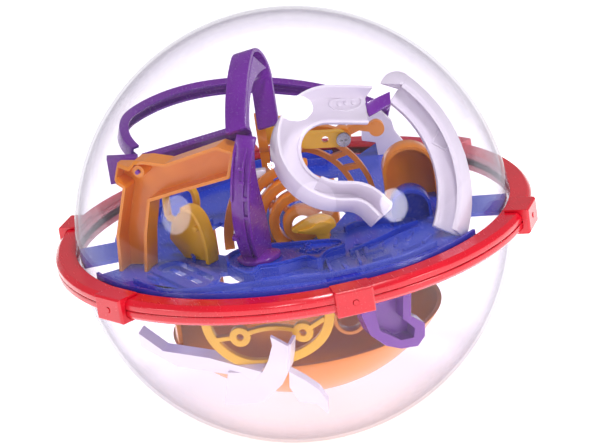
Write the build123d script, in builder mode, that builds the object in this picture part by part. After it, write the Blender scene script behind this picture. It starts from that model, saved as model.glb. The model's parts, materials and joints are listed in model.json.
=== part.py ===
from build123d import *
from math import atan2, cos, degrees, radians, sin, sqrt
import os

# Clear-sphere tilt maze. Millimetres, +Z up, origin at the centre of the sphere.
# Two clear domes meet at Z = 0 inside a clipped ring. A deck just above Z = 0
# carries the tracks, which reach out to the inside of the domes.

# ---- driving dimensions -------------------------------------------------
SHELL_RADIUS = 95.0          # outside of the clear sphere
SHELL_WALL = 1.5             # dome wall
FLANGE_REACH = 3.0           # dome rim flange beyond the sphere
FLANGE_THICK = 1.5           # thickness of one flange

RING_RADIAL = 9.2            # ring section beyond the sphere
RING_HEIGHT = 8.7            # both ring halves together
RING_BEVEL = 1.8             # bevel on the ring's outer corners
RING_GROOVE = 0.35           # groove where the halves meet

CLIP_COUNT = 6
CLIP_FIRST = -150.0          # degrees about Z
CLIP_WIDTH = 16.0
CLIP_HEIGHT = 11.0
CLIP_PROUD = 2.8             # clip face beyond the ring
CLIP_CHAMFER = 0.7
PIN_RADIUS = 1.1
PIN_PROUD = 0.25

FIT = 0.05                   # radial clearance of a close fit
TRACK_CLEAR = 2.0            # between the dome and what reaches out to it
TRACK_WALL = 1.4             # wall of the moulded tracks

DECK_TOP = 4.0               # height of the deck's upper face
DECK_THICK = 2.0
CORE_RADIUS = 78.0           # deck disc, without its front and its arms
DECK_WALL = 1.3              # upright walls on the deck
DECK_WALL_HEIGHT = 3.2
RIM_HEIGHT = 1.4
RAIL_WIDTH = 3.0             # rail under the deck's front edge
RAIL_DEPTH = 2.5

BALL_RADIUS = 4.0
BALL_ROOM = 0.6              # between the ball and each side of its trough
TROUGH_RADIUS = 70.0         # centre line of the trough
TROUGH_FLOOR_GAP = 0.05      # between the ball and the deck

# ---- what follows from them --------------------------------------------
INNER_RADIUS = SHELL_RADIUS - SHELL_WALL
REACH = INNER_RADIUS - TRACK_CLEAR        # furthest that a track reaches
DECK_RADIUS = INNER_RADIUS - 2 * FIT
FLANGE_RADIUS = SHELL_RADIUS + FLANGE_REACH
RING_RADIUS = SHELL_RADIUS + RING_RADIAL
RING_HALF = RING_HEIGHT / 2
CLIP_FACE = RING_RADIUS + CLIP_PROUD
DECK_BOTTOM = DECK_TOP - DECK_THICK
LAYOUT_RADIUS = 91.5                      # reach that the positions below are drawn for
LAYOUT = REACH / LAYOUT_RADIUS

CENTRE = (0, 0, 0)
FRONT = Vector(-0.187, -0.982, 0).normalized()    # level direction of the object's front
CLIP_ANGLES = [CLIP_FIRST + 360 / CLIP_COUNT * step for step in range(CLIP_COUNT)]


def square_to(normal, offset=0.0):
    """Plane square to a direction, at an offset from the centre, with a level X."""
    direction = Vector(*normal).normalized()
    level = Vector(0, 0, 1).cross(direction).normalized()
    return Plane(origin=direction * offset, x_dir=level, z_dir=direction)


def turned(plane, angle):
    """Plane that holds the axis of another: X points out at an angle, Y along the axis."""
    out = plane.x_dir * cos(radians(angle)) + plane.y_dir * sin(radians(angle))
    return Plane(origin=plane.origin, x_dir=out, z_dir=out.cross(plane.z_dir))


def slab(plane, points, depth):
    """Flat piece of even depth with an outline given as drawn for the layout radius."""
    with BuildPart() as piece:
        with BuildSketch(plane):
            with BuildLine():
                Polyline(*[(x * LAYOUT, y * LAYOUT) for x, y in points], close=True)
            make_face()
        extrude(amount=depth)
    return piece.part


def ball_zone(radius):
    """Solid sphere that trims what must stay inside the domes."""
    return Sphere(radius, mode=Mode.PRIVATE)


def at_reach(offset):
    """Radius about an axis at which a plane at this offset meets the reach of the tracks."""
    return sqrt(REACH**2 - offset**2)


def write(part, name):
    """Label a finished piece and write its STEP file."""
    part.label = name
    export_step(part, f"parts/{name}.step")


def facing(offset=0.0):
    """Upright plane that faces the object's front."""
    return square_to(FRONT, offset * LAYOUT)


def wall_line(plane, points, width, depth):
    """Band of even width along an arc or line through 2 or 3 points of a plane."""
    with BuildPart() as band:
        with BuildSketch(plane):
            with BuildLine():
                scaled = [(x * LAYOUT, y * LAYOUT) for x, y in points]
                if len(points) == 2:
                    Line(*scaled)
                else:
                    ThreePointArc(*scaled)
            trace(line_width=width)
        extrude(amount=depth)
    return band.part


def hood(plane, half_width, height, depth, wall):
    """Arch-shaped tunnel standing at a plane's origin, open to the front, closed behind."""
    with BuildPart() as tunnel:
        for inset, start in ((0, 0), (wall, wall)):
            with BuildSketch(plane.offset(start)):
                with Locations((0, height - half_width)):
                    Circle(half_width - inset)
                Rectangle(2 * (half_width - inset), height - half_width, align=(Align.CENTER, Align.MIN))
            extrude(amount=depth, mode=Mode.ADD if inset == 0 else Mode.SUBTRACT)
        split(bisect_by=Plane.XY.offset(DECK_TOP), keep=Keep.TOP)
    return tunnel.part


os.makedirs("parts", exist_ok=True)

# ---- clear domes --------------------------------------------------------
for name, side in (("upper_dome", Align.MIN), ("lower_dome", Align.MAX)):
    with BuildPart() as dome:
        with BuildSketch(Plane.XZ):
            Circle(SHELL_RADIUS)
            Circle(INNER_RADIUS, mode=Mode.SUBTRACT)
            with Locations((INNER_RADIUS + SHELL_WALL / 2, 0)):
                Rectangle(FLANGE_REACH + SHELL_WALL / 2, FLANGE_THICK, align=(Align.MIN, side))
            Rectangle(2 * SHELL_RADIUS, 2 * SHELL_RADIUS, align=(Align.MIN, side), mode=Mode.INTERSECT)
        revolve(axis=Axis.Z)
    write(dome.part, name)

# ---- ring halves --------------------------------------------------------
RING_SECTION = [
    (SHELL_RADIUS + FIT, FLANGE_THICK),
    (SHELL_RADIUS + FIT, RING_HALF),
    (RING_RADIUS - RING_BEVEL, RING_HALF),
    (RING_RADIUS, RING_HALF - RING_BEVEL),
    (RING_RADIUS, RING_GROOVE),
    (RING_RADIUS - RING_GROOVE, 0),
    (FLANGE_RADIUS + FIT, 0),
    (FLANGE_RADIUS + FIT, FLANGE_THICK),
]
for name, side in (("ring_upper", 1), ("ring_lower", -1)):
    with BuildPart() as ring:
        with BuildSketch(Plane.XZ):
            with BuildLine():
                Polyline(*[(x, side * z) for x, z in RING_SECTION], close=True)
            make_face()
        revolve(axis=Axis.Z)
    write(ring.part, name)

# ---- ring clips and their pins -----------------------------------------
CLIP_INSIDE = SHELL_RADIUS + FLANGE_REACH / 2
CLIP_SWEEP = 30.0
with BuildPart() as clip:
    with BuildSketch(Plane.YZ.offset(CLIP_INSIDE)):
        Rectangle(CLIP_WIDTH, CLIP_HEIGHT)
    extrude(amount=CLIP_FACE - CLIP_INSIDE)
    chamfer(clip.faces().sort_by(Axis.X)[-1].edges(), CLIP_CHAMFER)
    with BuildSketch(turned(Plane.XY, -CLIP_SWEEP / 2)):
        with BuildLine():
            Polyline(
                (SHELL_RADIUS, -RING_HALF - FIT),
                (RING_RADIUS - RING_BEVEL, -RING_HALF - FIT),
                (RING_RADIUS + FIT, -RING_HALF + RING_BEVEL),
                (RING_RADIUS + FIT, RING_HALF - RING_BEVEL),
                (RING_RADIUS - RING_BEVEL, RING_HALF + FIT),
                (SHELL_RADIUS, RING_HALF + FIT),
                close=True,
            )
        make_face()
    revolve(axis=Axis.Z, revolution_arc=CLIP_SWEEP, mode=Mode.SUBTRACT)
    with BuildSketch(Plane.YZ.offset(RING_RADIUS)):
        Circle(PIN_RADIUS + FIT)
    extrude(amount=2 * CLIP_PROUD, mode=Mode.SUBTRACT)
for number, angle in enumerate(CLIP_ANGLES, start=1):
    write(clip.part.rotate(Axis.Z, angle), f"ring_clip_{number}")

with BuildPart() as clip_pins:
    for angle in CLIP_ANGLES:
        outward = turned(Plane.XY, angle).x_dir
        with BuildSketch(Plane(outward * (RING_RADIUS + FIT), z_dir=outward)):
            Circle(PIN_RADIUS)
        extrude(amount=CLIP_PROUD + PIN_PROUD)
write(clip_pins.part, "clip_pins")

# ---- deck ---------------------------------------------------------------
FRONT_START = -167.0         # the deck reaches the dome along its front, from here
FRONT_SWEEP = 119.0
ARM_ANGLES = (-26.0, 45.0, 176.0)
ARM_WIDTH = 21.0
WINDOW_ANGLES = (-160.0, -57.0)
DECK_OPENINGS = (
    ((-46.0, -60.0), (-43.0, -50.0), (-31.0, -54.0), (-31.0, -64.0), (-41.0, -67.0)),
    ((-26.0, -73.5), (-16.0, -71.5), (-6.0, -75.0), (-6.0, -80.0), (-15.0, -80.0)),
    ((-47.0, -18.0), (-43.0, 2.0), (-30.0, 12.0), (-20.0, -10.0), (-25.0, -27.0), (-37.0, -31.0)),
    ((-4.0, -21.0), (14.0, -23.0), (23.0, -9.0), (20.0, 4.0), (2.0, 6.0), (-3.0, -8.0)),
    ((-12.0, 20.0), (25.0, 18.0), (32.0, 42.0), (4.0, 52.0), (-20.0, 40.0)),
)
CLIP_LOOP_PLACE = (-57.0 * LAYOUT, -45.0 * LAYOUT)
CLIP_LOOP_TURN = -72.0
CLIP_LOOP_LENGTH = 41.0
CLIP_LOOP_WIDTH = 17.0
CLIP_LOOP_BAND = 2.6
CLIP_LOOP_GAP = 4.2
CLIP_LOOP_INSIDE = CLIP_LOOP_LENGTH - 2 * CLIP_LOOP_BAND
CLIP_LOOP_BORE = CLIP_LOOP_WIDTH - 2 * CLIP_LOOP_BAND
CLIP_LOOP_SLIT = 25.4
SLOT_PLACES = ((-41.0, -75.0, -30.0), (20.0, -55.0, -18.0))
SLOT_LENGTH = 13.0
SLOT_WIDTH = 3.2
BAR_PLACES = ((19.0, -67.0, 8.0), (34.0, -71.0, 22.0), (20.0, -75.0, 12.0))
BAR_LENGTH = 9.0
BAR_WIDTH = 2.6
BAR_HEIGHT = 1.4
HOLE_PLACE = (14.0 * LAYOUT, -64.0 * LAYOUT)
HOLE_PITCH = 3.6
HOLE_RADIUS = 0.7
HOLE_COLUMNS = 3
HOLE_ROWS = 2
TROUGH_START = 62.0          # angles of the trough's two ends
TROUGH_END = 146.0
TROUGH_WALL = 1.2
TROUGH_HALF = BALL_RADIUS + BALL_ROOM

with BuildPart() as deck:
    with BuildSketch(Plane.XY.offset(DECK_BOTTOM)):
        Circle(CORE_RADIUS)
        with BuildLine():
            front = CenterArc(CENTRE, DECK_RADIUS, FRONT_START, FRONT_SWEEP)
            Line(CENTRE, front @ 0)
            Line(front @ 1, CENTRE)
        make_face()
        for angle in ARM_ANGLES:
            with Locations(Location(CENTRE, (0, 0, angle))):
                Rectangle(DECK_RADIUS, ARM_WIDTH, align=(Align.MIN, Align.CENTER))
        Circle(DECK_RADIUS, mode=Mode.INTERSECT)
        with Locations(Location((*CLIP_LOOP_PLACE, 0), (0, 0, CLIP_LOOP_TURN))):
            SlotOverall(CLIP_LOOP_INSIDE, CLIP_LOOP_BORE, mode=Mode.SUBTRACT)
            SlotOverall(CLIP_LOOP_LENGTH - 2 * CLIP_LOOP_GAP, CLIP_LOOP_WIDTH - 2 * CLIP_LOOP_GAP)
            SlotOverall(CLIP_LOOP_SLIT, CLIP_LOOP_BAND, mode=Mode.SUBTRACT)
            Rectangle(CLIP_LOOP_BAND, CLIP_LOOP_WIDTH - CLIP_LOOP_BAND)
        for opening in DECK_OPENINGS:
            with BuildLine():
                Polyline(*[(x * LAYOUT, y * LAYOUT) for x, y in opening], close=True)
            make_face(mode=Mode.SUBTRACT)
        for x, y, angle in SLOT_PLACES:
            with Locations(Location((x * LAYOUT, y * LAYOUT, 0), (0, 0, angle))):
                SlotOverall(SLOT_LENGTH, SLOT_WIDTH, mode=Mode.SUBTRACT)
        with Locations(HOLE_PLACE):
            with GridLocations(HOLE_PITCH, HOLE_PITCH, HOLE_COLUMNS, HOLE_ROWS):
                Circle(HOLE_RADIUS, mode=Mode.SUBTRACT)
    extrude(amount=DECK_THICK)
    with BuildSketch(Plane.XY.offset(DECK_TOP)):
        with Locations(Location((*CLIP_LOOP_PLACE, 0), (0, 0, CLIP_LOOP_TURN))):
            SlotOverall(CLIP_LOOP_LENGTH, CLIP_LOOP_WIDTH)
            SlotOverall(CLIP_LOOP_INSIDE, CLIP_LOOP_BORE, mode=Mode.SUBTRACT)
        for x, y, angle in BAR_PLACES:
            with Locations(Location((x * LAYOUT, y * LAYOUT, 0), (0, 0, angle))):
                SlotOverall(BAR_LENGTH, BAR_WIDTH)
    extrude(amount=BAR_HEIGHT)
    with BuildSketch(Plane.XY.offset(DECK_TOP)):
        with BuildLine():
            CenterArc(CENTRE, DECK_RADIUS - DECK_WALL / 2, FRONT_START, FRONT_SWEEP)
        trace(line_width=DECK_WALL)
        Circle(DECK_RADIUS, mode=Mode.INTERSECT)
    extrude(amount=RIM_HEIGHT)
    with BuildSketch(Plane.XY.offset(DECK_TOP)):
        for radius in (TROUGH_RADIUS - TROUGH_HALF, TROUGH_RADIUS + TROUGH_HALF + TROUGH_WALL):
            with BuildLine():
                CenterArc(CENTRE, radius - TROUGH_WALL / 2, TROUGH_START, TROUGH_END - TROUGH_START)
            trace(line_width=TROUGH_WALL)
        for angle in (TROUGH_START, TROUGH_END):
            with Locations(Location(CENTRE, (0, 0, angle))):
                with Locations((TROUGH_RADIUS, 0)):
                    Rectangle(2 * TROUGH_HALF + TROUGH_WALL, TROUGH_WALL)
    extrude(amount=DECK_WALL_HEIGHT)
    add(ball_zone(INNER_RADIUS - FIT), mode=Mode.INTERSECT)
write(deck.part, "deck")

# raised platform on the deck's front, open underneath, that the C track stands on
PLATFORM_OUTLINE = (
    (-41.0, -55.0), (-39.5, -46.0), (-33.0, -40.5), (-25.0, -40.5), (-17.0, -43.5), (-9.0, -47.0), (2.0, -51.5),
    (9.0, -56.0), (8.0, -63.3), (2.0, -65.0), (-1.5, -67.5), (-4.5, -73.5), (-6.5, -73.0), (-9.5, -66.5),
    (-16.0, -67.5), (-22.0, -68.5), (-29.0, -66.5), (-33.0, -72.0), (-37.0, -70.0), (-39.5, -63.0),
)
PLATFORM_HEIGHT = 4.0
PLATFORM_THICK = 1.6
PLATFORM_TOP = DECK_TOP + PLATFORM_HEIGHT
with BuildPart() as deck_platform:
    add(slab(Plane.XY.offset(DECK_TOP), PLATFORM_OUTLINE, PLATFORM_HEIGHT))
    with BuildSketch(Plane.XY.offset(DECK_TOP)):
        with BuildLine():
            Polyline(*[(x * LAYOUT, y * LAYOUT) for x, y in PLATFORM_OUTLINE], close=True)
        make_face()
        offset(amount=-DECK_WALL, mode=Mode.REPLACE)
    extrude(amount=PLATFORM_HEIGHT - PLATFORM_THICK, mode=Mode.SUBTRACT)
write(deck_platform.part, "deck_platform")

with BuildPart() as deck_rail:
    with BuildSketch(turned(Plane.XY, FRONT_START)):
        with Locations((DECK_RADIUS - RAIL_WIDTH / 2, DECK_BOTTOM - RAIL_DEPTH / 2)):
            Rectangle(RAIL_WIDTH, RAIL_DEPTH)
    revolve(axis=Axis.Z, revolution_arc=FRONT_SWEEP)
write(deck_rail.part, "deck_rail")

# hood over the deck's right side
HOOD_PLACE = Vector(45.0 * LAYOUT, -33.0 * LAYOUT, DECK_TOP)
HOOD_HALF_WIDTH = 8.5
HOOD_HEIGHT = 15.0
HOOD_DEPTH = 10.0
hood_plane = Plane(origin=HOOD_PLACE, x_dir=square_to(FRONT).x_dir, z_dir=FRONT)
write(hood(hood_plane, HOOD_HALF_WIDTH, HOOD_HEIGHT, HOOD_DEPTH, DECK_WALL), "deck_hood")

# ---- tilted halo rail ---------------------------------------------------
HALO_AXIS = (0.2214, -0.3371, 0.9151)
HALO_OFFSET = 13.4 * LAYOUT
HALO_HEIGHT = 6.4
HALO_DEPTH = 4.2
HALO_START = 15.0
HALO_SWEEP = 86.0
HALO_END_RADIUS = 23.0
HALO_END_SWEEP = 74.0
halo_plane = square_to(HALO_AXIS, HALO_OFFSET)
halo_radius = at_reach(HALO_OFFSET + HALO_HEIGHT / 2) - HALO_DEPTH / 2
with BuildPart() as halo_rail:
    with BuildLine(halo_plane) as halo_line:
        halo_arc = CenterArc(CENTRE, halo_radius, HALO_START, HALO_SWEEP)
        JernArc(halo_arc @ 1, halo_arc % 1, HALO_END_RADIUS, HALO_END_SWEEP)
    halo_start = halo_line.line @ 0
    halo_out = (halo_start - halo_plane.origin).normalized()
    with BuildSketch(Plane(origin=halo_start, x_dir=halo_out, z_dir=halo_out.cross(halo_plane.z_dir))):
        Rectangle(HALO_DEPTH, HALO_HEIGHT)
        with Locations((-TRACK_WALL, 0)):
            Rectangle(HALO_DEPTH, HALO_HEIGHT - 2 * TRACK_WALL, mode=Mode.SUBTRACT)
    sweep(path=halo_line.line)
write(halo_rail.part, "halo_rail")

# ---- purple hoop and C track, on one circle about a level-ish axis ------
HOOP_AXIS = (0.849, -0.478, 0.226)
HOOP_LEFT = 12.6 * LAYOUT
HOOP_WIDTH = 9.6
HOOP_START = 108.0
HOOP_SWEEP = 27.0
HOOP_TURN_RADIUS = 9.5
HOOP_TURN_SWEEP = 142.0
HOOP_LEG = 21.0
HOOP_WALL = 1.8
HOOP_WEB_FOOT_ANGLE = -45.0
HOOP_WEB_EDGE = ((-34.0, 74.5), (-18.0, 74.0))
hoop_plane = square_to(HOOP_AXIS, HOOP_LEFT)
hoop_radius = at_reach(HOOP_LEFT + HOOP_WIDTH) - HOOP_WALL / 2
with BuildPart() as hoop:
    with BuildLine(hoop_plane) as hoop_line:
        hoop_arc = CenterArc(CENTRE, hoop_radius, HOOP_START + HOOP_SWEEP, -HOOP_SWEEP)
        hoop_turn = JernArc(hoop_arc @ 1, hoop_arc % 1, HOOP_TURN_RADIUS, -HOOP_TURN_SWEEP)
        PolarLine(hoop_turn @ 1, HOOP_LEG, direction=hoop_turn % 1)
    hoop_start = hoop_line.line @ 0
    hoop_out = (hoop_start - hoop_plane.origin).normalized()
    with BuildSketch(Plane(origin=hoop_start, x_dir=hoop_out, z_dir=hoop_out.cross(hoop_plane.z_dir) * -1)):
        Rectangle(HOOP_WALL, HOOP_WIDTH, align=(Align.CENTER, Align.MAX))
    sweep(path=hoop_line.line)
write(hoop.part, "hoop")

# web that closes the hoop's right side under its top
with BuildPart() as hoop_web:
    with BuildSketch(square_to(HOOP_AXIS, HOOP_LEFT + HOOP_WIDTH - TRACK_WALL)):
        with BuildLine():
            web_arc = CenterArc(CENTRE, hoop_radius - HOOP_WALL / 2 - FIT, HOOP_START, HOOP_SWEEP)
            web_foot = PolarLine(web_arc @ 1, HOOP_WALL, angle=HOOP_WEB_FOOT_ANGLE)
            web_edge = Spline(web_foot @ 1, *[(x * LAYOUT, y * LAYOUT) for x, y in HOOP_WEB_EDGE])
            Line(web_edge @ 1, web_arc @ 0)
        make_face()
    extrude(amount=TRACK_WALL)
write(hoop_web.part, "hoop_web")

C_AXIS = (0.814, -0.566, -0.131)
C_OFFSET = 1.5 * LAYOUT
C_CENTRE = (-26.4 * LAYOUT, 39.1 * LAYOUT)
C_RADIUS = 46.0 * LAYOUT
C_START = 146.0
C_SWEEP = 80.0
C_WIDTH = 8.4
C_BAND = 1.6
C_WEB_INSET = 4.0            # degrees of the band that the web leaves out at its top
C_WEB_INSIDE = ((-51.5, 4.0), (-53.0, 20.0), (-59.5, 35.0), (-65.5, 50.0))
c_plane = square_to(C_AXIS, C_OFFSET)
with BuildPart() as c_track:
    with BuildSketch(c_plane):
        with BuildLine():
            CenterArc(C_CENTRE, C_RADIUS, C_START, C_SWEEP)
        trace(line_width=C_BAND)
    extrude(amount=C_WIDTH)
    with BuildSketch(c_plane.offset(C_WIDTH - TRACK_WALL)):
        with BuildLine():
            c_edge = CenterArc(C_CENTRE, C_RADIUS, C_START + C_WEB_INSET, C_SWEEP - C_WEB_INSET)
            Spline(c_edge @ 1, *[(x * LAYOUT, y * LAYOUT) for x, y in C_WEB_INSIDE], c_edge @ 0)
        make_face()
    extrude(amount=TRACK_WALL)
    split(bisect_by=Plane.XY.offset(PLATFORM_TOP), keep=Keep.TOP)
write(c_track.part, "c_track")

# ---- rear rail and the bracket that joins it to the halo ----------------
REAR_RAIL_START = Vector(-60.0, 36.0) * LAYOUT
REAR_RAIL_END = Vector(-12.0, 43.0) * LAYOUT
REAR_RAIL_HEIGHT = 6.6
REAR_RAIL_DEPTH = 5.0
REAR_RAIL_OFFSET = -10.0
with BuildPart() as rear_rail:
    for inset in (0, TRACK_WALL):
        with BuildSketch(facing(REAR_RAIL_OFFSET).offset(inset)):
            with BuildLine():
                Line(REAR_RAIL_START, REAR_RAIL_END)
            trace(line_width=REAR_RAIL_HEIGHT - 2 * inset)
        extrude(amount=REAR_RAIL_DEPTH, mode=Mode.ADD if inset == 0 else Mode.SUBTRACT)
write(rear_rail.part, "rear_rail")

RAIL_BRACKET_OUTLINE = ((-75.5, 29.0), (-75.5, 41.0), (-62.0, 39.5), (-62.0, 33.0), (-72.0, 35.0), (-72.0, 29.0))
with BuildPart() as rail_bracket:
    add(slab(facing(REAR_RAIL_OFFSET), RAIL_BRACKET_OUTLINE, REAR_RAIL_DEPTH))
    add(halo_rail.part, mode=Mode.SUBTRACT)
write(rail_bracket.part, "rail_bracket")

# ---- orange gate --------------------------------------------------------
GATE_AXIS = (-0.611, -0.792, 0)
GATE_OFFSET = 57.0 * LAYOUT
GATE_DEPTH = 10.0
GATE_OUTLINE = (
    (-51.2, 1.0), (-49.5, 20.0), (-42.5, 41.5), (-47.0, 44.5), (-46.7, 50.5), (-38.5, 50.5), (-36.0, 53.2),
    (-30.6, 53.6), (-21.0, 52.3), (4.0, 60.0), (12.0, 57.5), (8.0, 46.0), (-16.0, 39.7), (-30.6, 35.6),
    (-34.8, 20.4), (-38.0, 1.0),
)
GATE_EAR = (-34.4 * LAYOUT, 48.5 * LAYOUT)
GATE_PIN_RADIUS = 0.9
GATE_BOSS_RADIUS = 2.7
gate_plane = square_to(GATE_AXIS, GATE_OFFSET)
with BuildPart() as gate:
    add(slab(gate_plane, GATE_OUTLINE, GATE_DEPTH))
    add(ball_zone(REACH), mode=Mode.INTERSECT)
    with BuildSketch(gate_plane.offset(TRACK_WALL)):
        with BuildLine():
            Polyline(*[(x * LAYOUT, y * LAYOUT) for x, y in GATE_OUTLINE], close=True)
        make_face()
        offset(amount=-TRACK_WALL, mode=Mode.REPLACE)
    extrude(amount=GATE_DEPTH, mode=Mode.SUBTRACT)
    with BuildSketch(gate_plane):
        with Locations(GATE_EAR):
            Circle(GATE_BOSS_RADIUS)
    extrude(amount=GATE_DEPTH - TRACK_WALL)
    with BuildSketch(gate_plane):
        with Locations(GATE_EAR):
            Circle(GATE_PIN_RADIUS + FIT)
    extrude(amount=GATE_DEPTH, mode=Mode.SUBTRACT)
    split(bisect_by=Plane.XY.offset(DECK_TOP), keep=Keep.TOP)
write(gate.part, "gate")

with BuildPart() as gate_pin:
    with BuildSketch(gate_plane):
        with Locations(GATE_EAR):
            Circle(GATE_PIN_RADIUS)
    extrude(amount=GATE_DEPTH)
write(gate_pin.part, "gate_pin")

# ---- yellow quadrant ----------------------------------------------------
QUADRANT_AXIS = (-0.8, -0.6, 0)
QUADRANT_OFFSET = 53.0 * LAYOUT
QUADRANT_DEPTH = 6.0
QUADRANT_WINDOW = ((-20.0, 18.0), (-19.5, 27.0), (-10.0, 29.5), (-9.0, 20.0))
QUADRANT_OUTSIDE = ((4.6, 2.0), (-26.6, 2.0), (-22.7, 30.0), (-7.5, 34.0), (1.0, 21.0))    # the last on the arc
QUADRANT_INSIDE = ((1.6, 2.0), (-23.6, 2.0), (-20.2, 28.0), (-9.5, 31.5), (-2.0, 20.0))
with BuildPart() as quadrant:
    for corners, inset in ((QUADRANT_OUTSIDE, 0), (QUADRANT_INSIDE, TRACK_WALL)):
        with BuildSketch(square_to(QUADRANT_AXIS, QUADRANT_OFFSET + inset)):
            with BuildLine():
                toe, heel, shoulder, crown, bulge = [(x * LAYOUT, y * LAYOUT) for x, y in corners]
                Polyline(toe, heel, shoulder, crown)
                ThreePointArc(crown, bulge, toe)
            make_face()
        extrude(amount=QUADRANT_DEPTH, mode=Mode.SUBTRACT if inset else Mode.ADD)
    with BuildSketch(square_to(QUADRANT_AXIS, QUADRANT_OFFSET)):
        with BuildLine():
            Polyline(*[(x * LAYOUT, y * LAYOUT) for x, y in QUADRANT_WINDOW], close=True)
        make_face()
    extrude(amount=QUADRANT_DEPTH, mode=Mode.SUBTRACT)
    split(bisect_by=Plane.XY.offset(DECK_TOP), keep=Keep.TOP)
write(quadrant.part, "quadrant")

# ---- thin orange hoop and orange spiral ---------------------------------
THIN_HOOP_WIDTH = 4.2
THIN_HOOP_DEPTH = 3.0
THIN_HOOP_OFFSET = 28.0
THIN_HOOP_ARC = ((-20.0, 30.0), (-26.0, 18.0), (-28.0, 2.0))
with BuildPart() as thin_hoop:
    add(wall_line(facing(THIN_HOOP_OFFSET), THIN_HOOP_ARC, THIN_HOOP_WIDTH, THIN_HOOP_DEPTH))
    split(bisect_by=Plane.XY.offset(DECK_TOP), keep=Keep.TOP)
write(thin_hoop.part, "thin_hoop")

SPIRAL_CENTRE = (3.7 * LAYOUT, 11.7 * LAYOUT)
SPIRAL_RINGS = ((15.4, 18.8, 26.0), (10.6, 13.4, 30.0), (4.4, 7.8, 34.0))   # radii, offset
SPIRAL_DEPTH = 4.0
SPIRAL_STRUT_ANGLE = 80.0    # where the first of each ring's two struts is
SPIRAL_STRUT_SPREAD = 180.0  # turn that the two struts are spread over
SPIRAL_STRUT_WIDTH = 4.2
with BuildPart() as spiral:
    for inner, outer, ahead in SPIRAL_RINGS:
        with BuildSketch(facing(ahead)):
            with Locations(SPIRAL_CENTRE):
                Circle(outer * LAYOUT)
                Circle(inner * LAYOUT, mode=Mode.SUBTRACT)
                if ahead != SPIRAL_RINGS[-1][2]:
                    Rectangle(outer * LAYOUT, 2 * outer * LAYOUT, align=(Align.MIN, Align.CENTER), mode=Mode.SUBTRACT)
        extrude(amount=SPIRAL_DEPTH * LAYOUT)
    for near, far in zip(SPIRAL_RINGS[1:], SPIRAL_RINGS[:-1]):
        with BuildSketch(facing(far[2])):
            with Locations(SPIRAL_CENTRE):
                middle = (near[1] + far[0]) / 2 * LAYOUT
                with PolarLocations(middle, 2, SPIRAL_STRUT_ANGLE, SPIRAL_STRUT_SPREAD):
                    Rectangle((far[0] - near[1] + 2 * TRACK_WALL) * LAYOUT, SPIRAL_STRUT_WIDTH)
        extrude(amount=SPIRAL_DEPTH * LAYOUT + TRACK_WALL)
    split(bisect_by=Plane.XY.offset(DECK_TOP), keep=Keep.TOP)
write(spiral.part, "spiral")

# ---- yellow spool, its collar and the column under it -------------------
SPOOL_RADIUS = 5.9 * LAYOUT
SPOOL_WALL = 1.6
SPOOL_START = -7.5           # level position of the spool's two ends
SPOOL_END = 7.5
SPOOL_HEIGHT = 45.2
SPOOL_OFFSET = 5.0
COLLAR_RADIUS = 8.6 * LAYOUT
COLLAR_LENGTH = 4.0
COLUMN_WIDTH = 5.0
front_x = square_to(FRONT).x_dir
spool_middle = FRONT * SPOOL_OFFSET * LAYOUT + Vector(0, 0, SPOOL_HEIGHT * LAYOUT)
spool_plane = Plane(origin=spool_middle + front_x * SPOOL_START * LAYOUT, z_dir=front_x)
spool_length = (SPOOL_END - SPOOL_START) * LAYOUT
with BuildPart() as spool:
    with BuildSketch(spool_plane):
        Circle(SPOOL_RADIUS)
        Circle(SPOOL_RADIUS - SPOOL_WALL, mode=Mode.SUBTRACT)
    extrude(amount=spool_length)
write(spool.part, "spool")

with BuildPart() as spool_collar:
    with BuildSketch(spool_plane.offset(-COLLAR_LENGTH / 2)):
        Circle(COLLAR_RADIUS)
    extrude(amount=COLLAR_LENGTH)
    with BuildSketch(spool_plane):
        Circle(SPOOL_RADIUS + FIT)
    extrude(amount=COLLAR_LENGTH, mode=Mode.SUBTRACT)
    with BuildSketch(Plane.XY.offset(DECK_TOP)):
        foot = spool_middle + front_x * SPOOL_START * LAYOUT
        with Locations(Location((foot.X, foot.Y, 0), (0, 0, degrees(atan2(front_x.Y, front_x.X))))):
            Rectangle(COLLAR_LENGTH, COLUMN_WIDTH)
    extrude(amount=SPOOL_HEIGHT * LAYOUT - DECK_TOP - SPOOL_RADIUS - 2 * FIT)
write(spool_collar.part, "spool_collar")

# ---- orange arm, yellow lever and its screw -----------------------------
ARM_OFFSET = 1.0
ARM_DEPTH = 4.0
ARM_POINTS = ((7.5, 44.5), (20.0, 41.5), (26.7, 38.5), (34.0, 41.0), (41.5, 38.8))
ARM_BAR = 3.4
PIVOT = (26.7 * LAYOUT, 38.5 * LAYOUT)
BOSS_RADIUS = 3.6
BOSS_LENGTH = 2.4
SCREW_RADIUS = 1.5
SCREW_HEAD_RADIUS = 3.1
SCREW_HEAD = 1.6
SCREW_CROSS = 0.7
LEVER_THICK = 3.0
LEVER_GAP = 0.3
LEVER_LENGTH = 17.4 * LAYOUT
LEVER_HEIGHT = 7.2
LEVER_HOLE = 1.5
LEVER_HOLE_PLACE = 7.8
LEVER_TURN = 174.0
arm_plane = facing(ARM_OFFSET)
with BuildPart() as arm:
    with BuildSketch(arm_plane):
        with BuildLine():
            Polyline(*[(x * LAYOUT, y * LAYOUT) for x, y in ARM_POINTS])
        trace(line_width=ARM_BAR)
        with Locations((ARM_POINTS[-1][0] * LAYOUT, ARM_POINTS[-1][1] * LAYOUT)):
            Circle(ARM_BAR)
    extrude(amount=ARM_DEPTH)
    with BuildSketch(arm_plane):
        with Locations(PIVOT):
            Circle(BOSS_RADIUS)
    extrude(amount=ARM_DEPTH + BOSS_LENGTH)
    with BuildSketch(arm_plane):
        with Locations(PIVOT):
            Circle(SCREW_RADIUS)
    extrude(amount=ARM_DEPTH + BOSS_LENGTH, mode=Mode.SUBTRACT)
    split(bisect_by=Plane(origin=spool_plane.origin, z_dir=front_x).offset(spool_length), keep=Keep.TOP)
write(arm.part, "arm")

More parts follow.
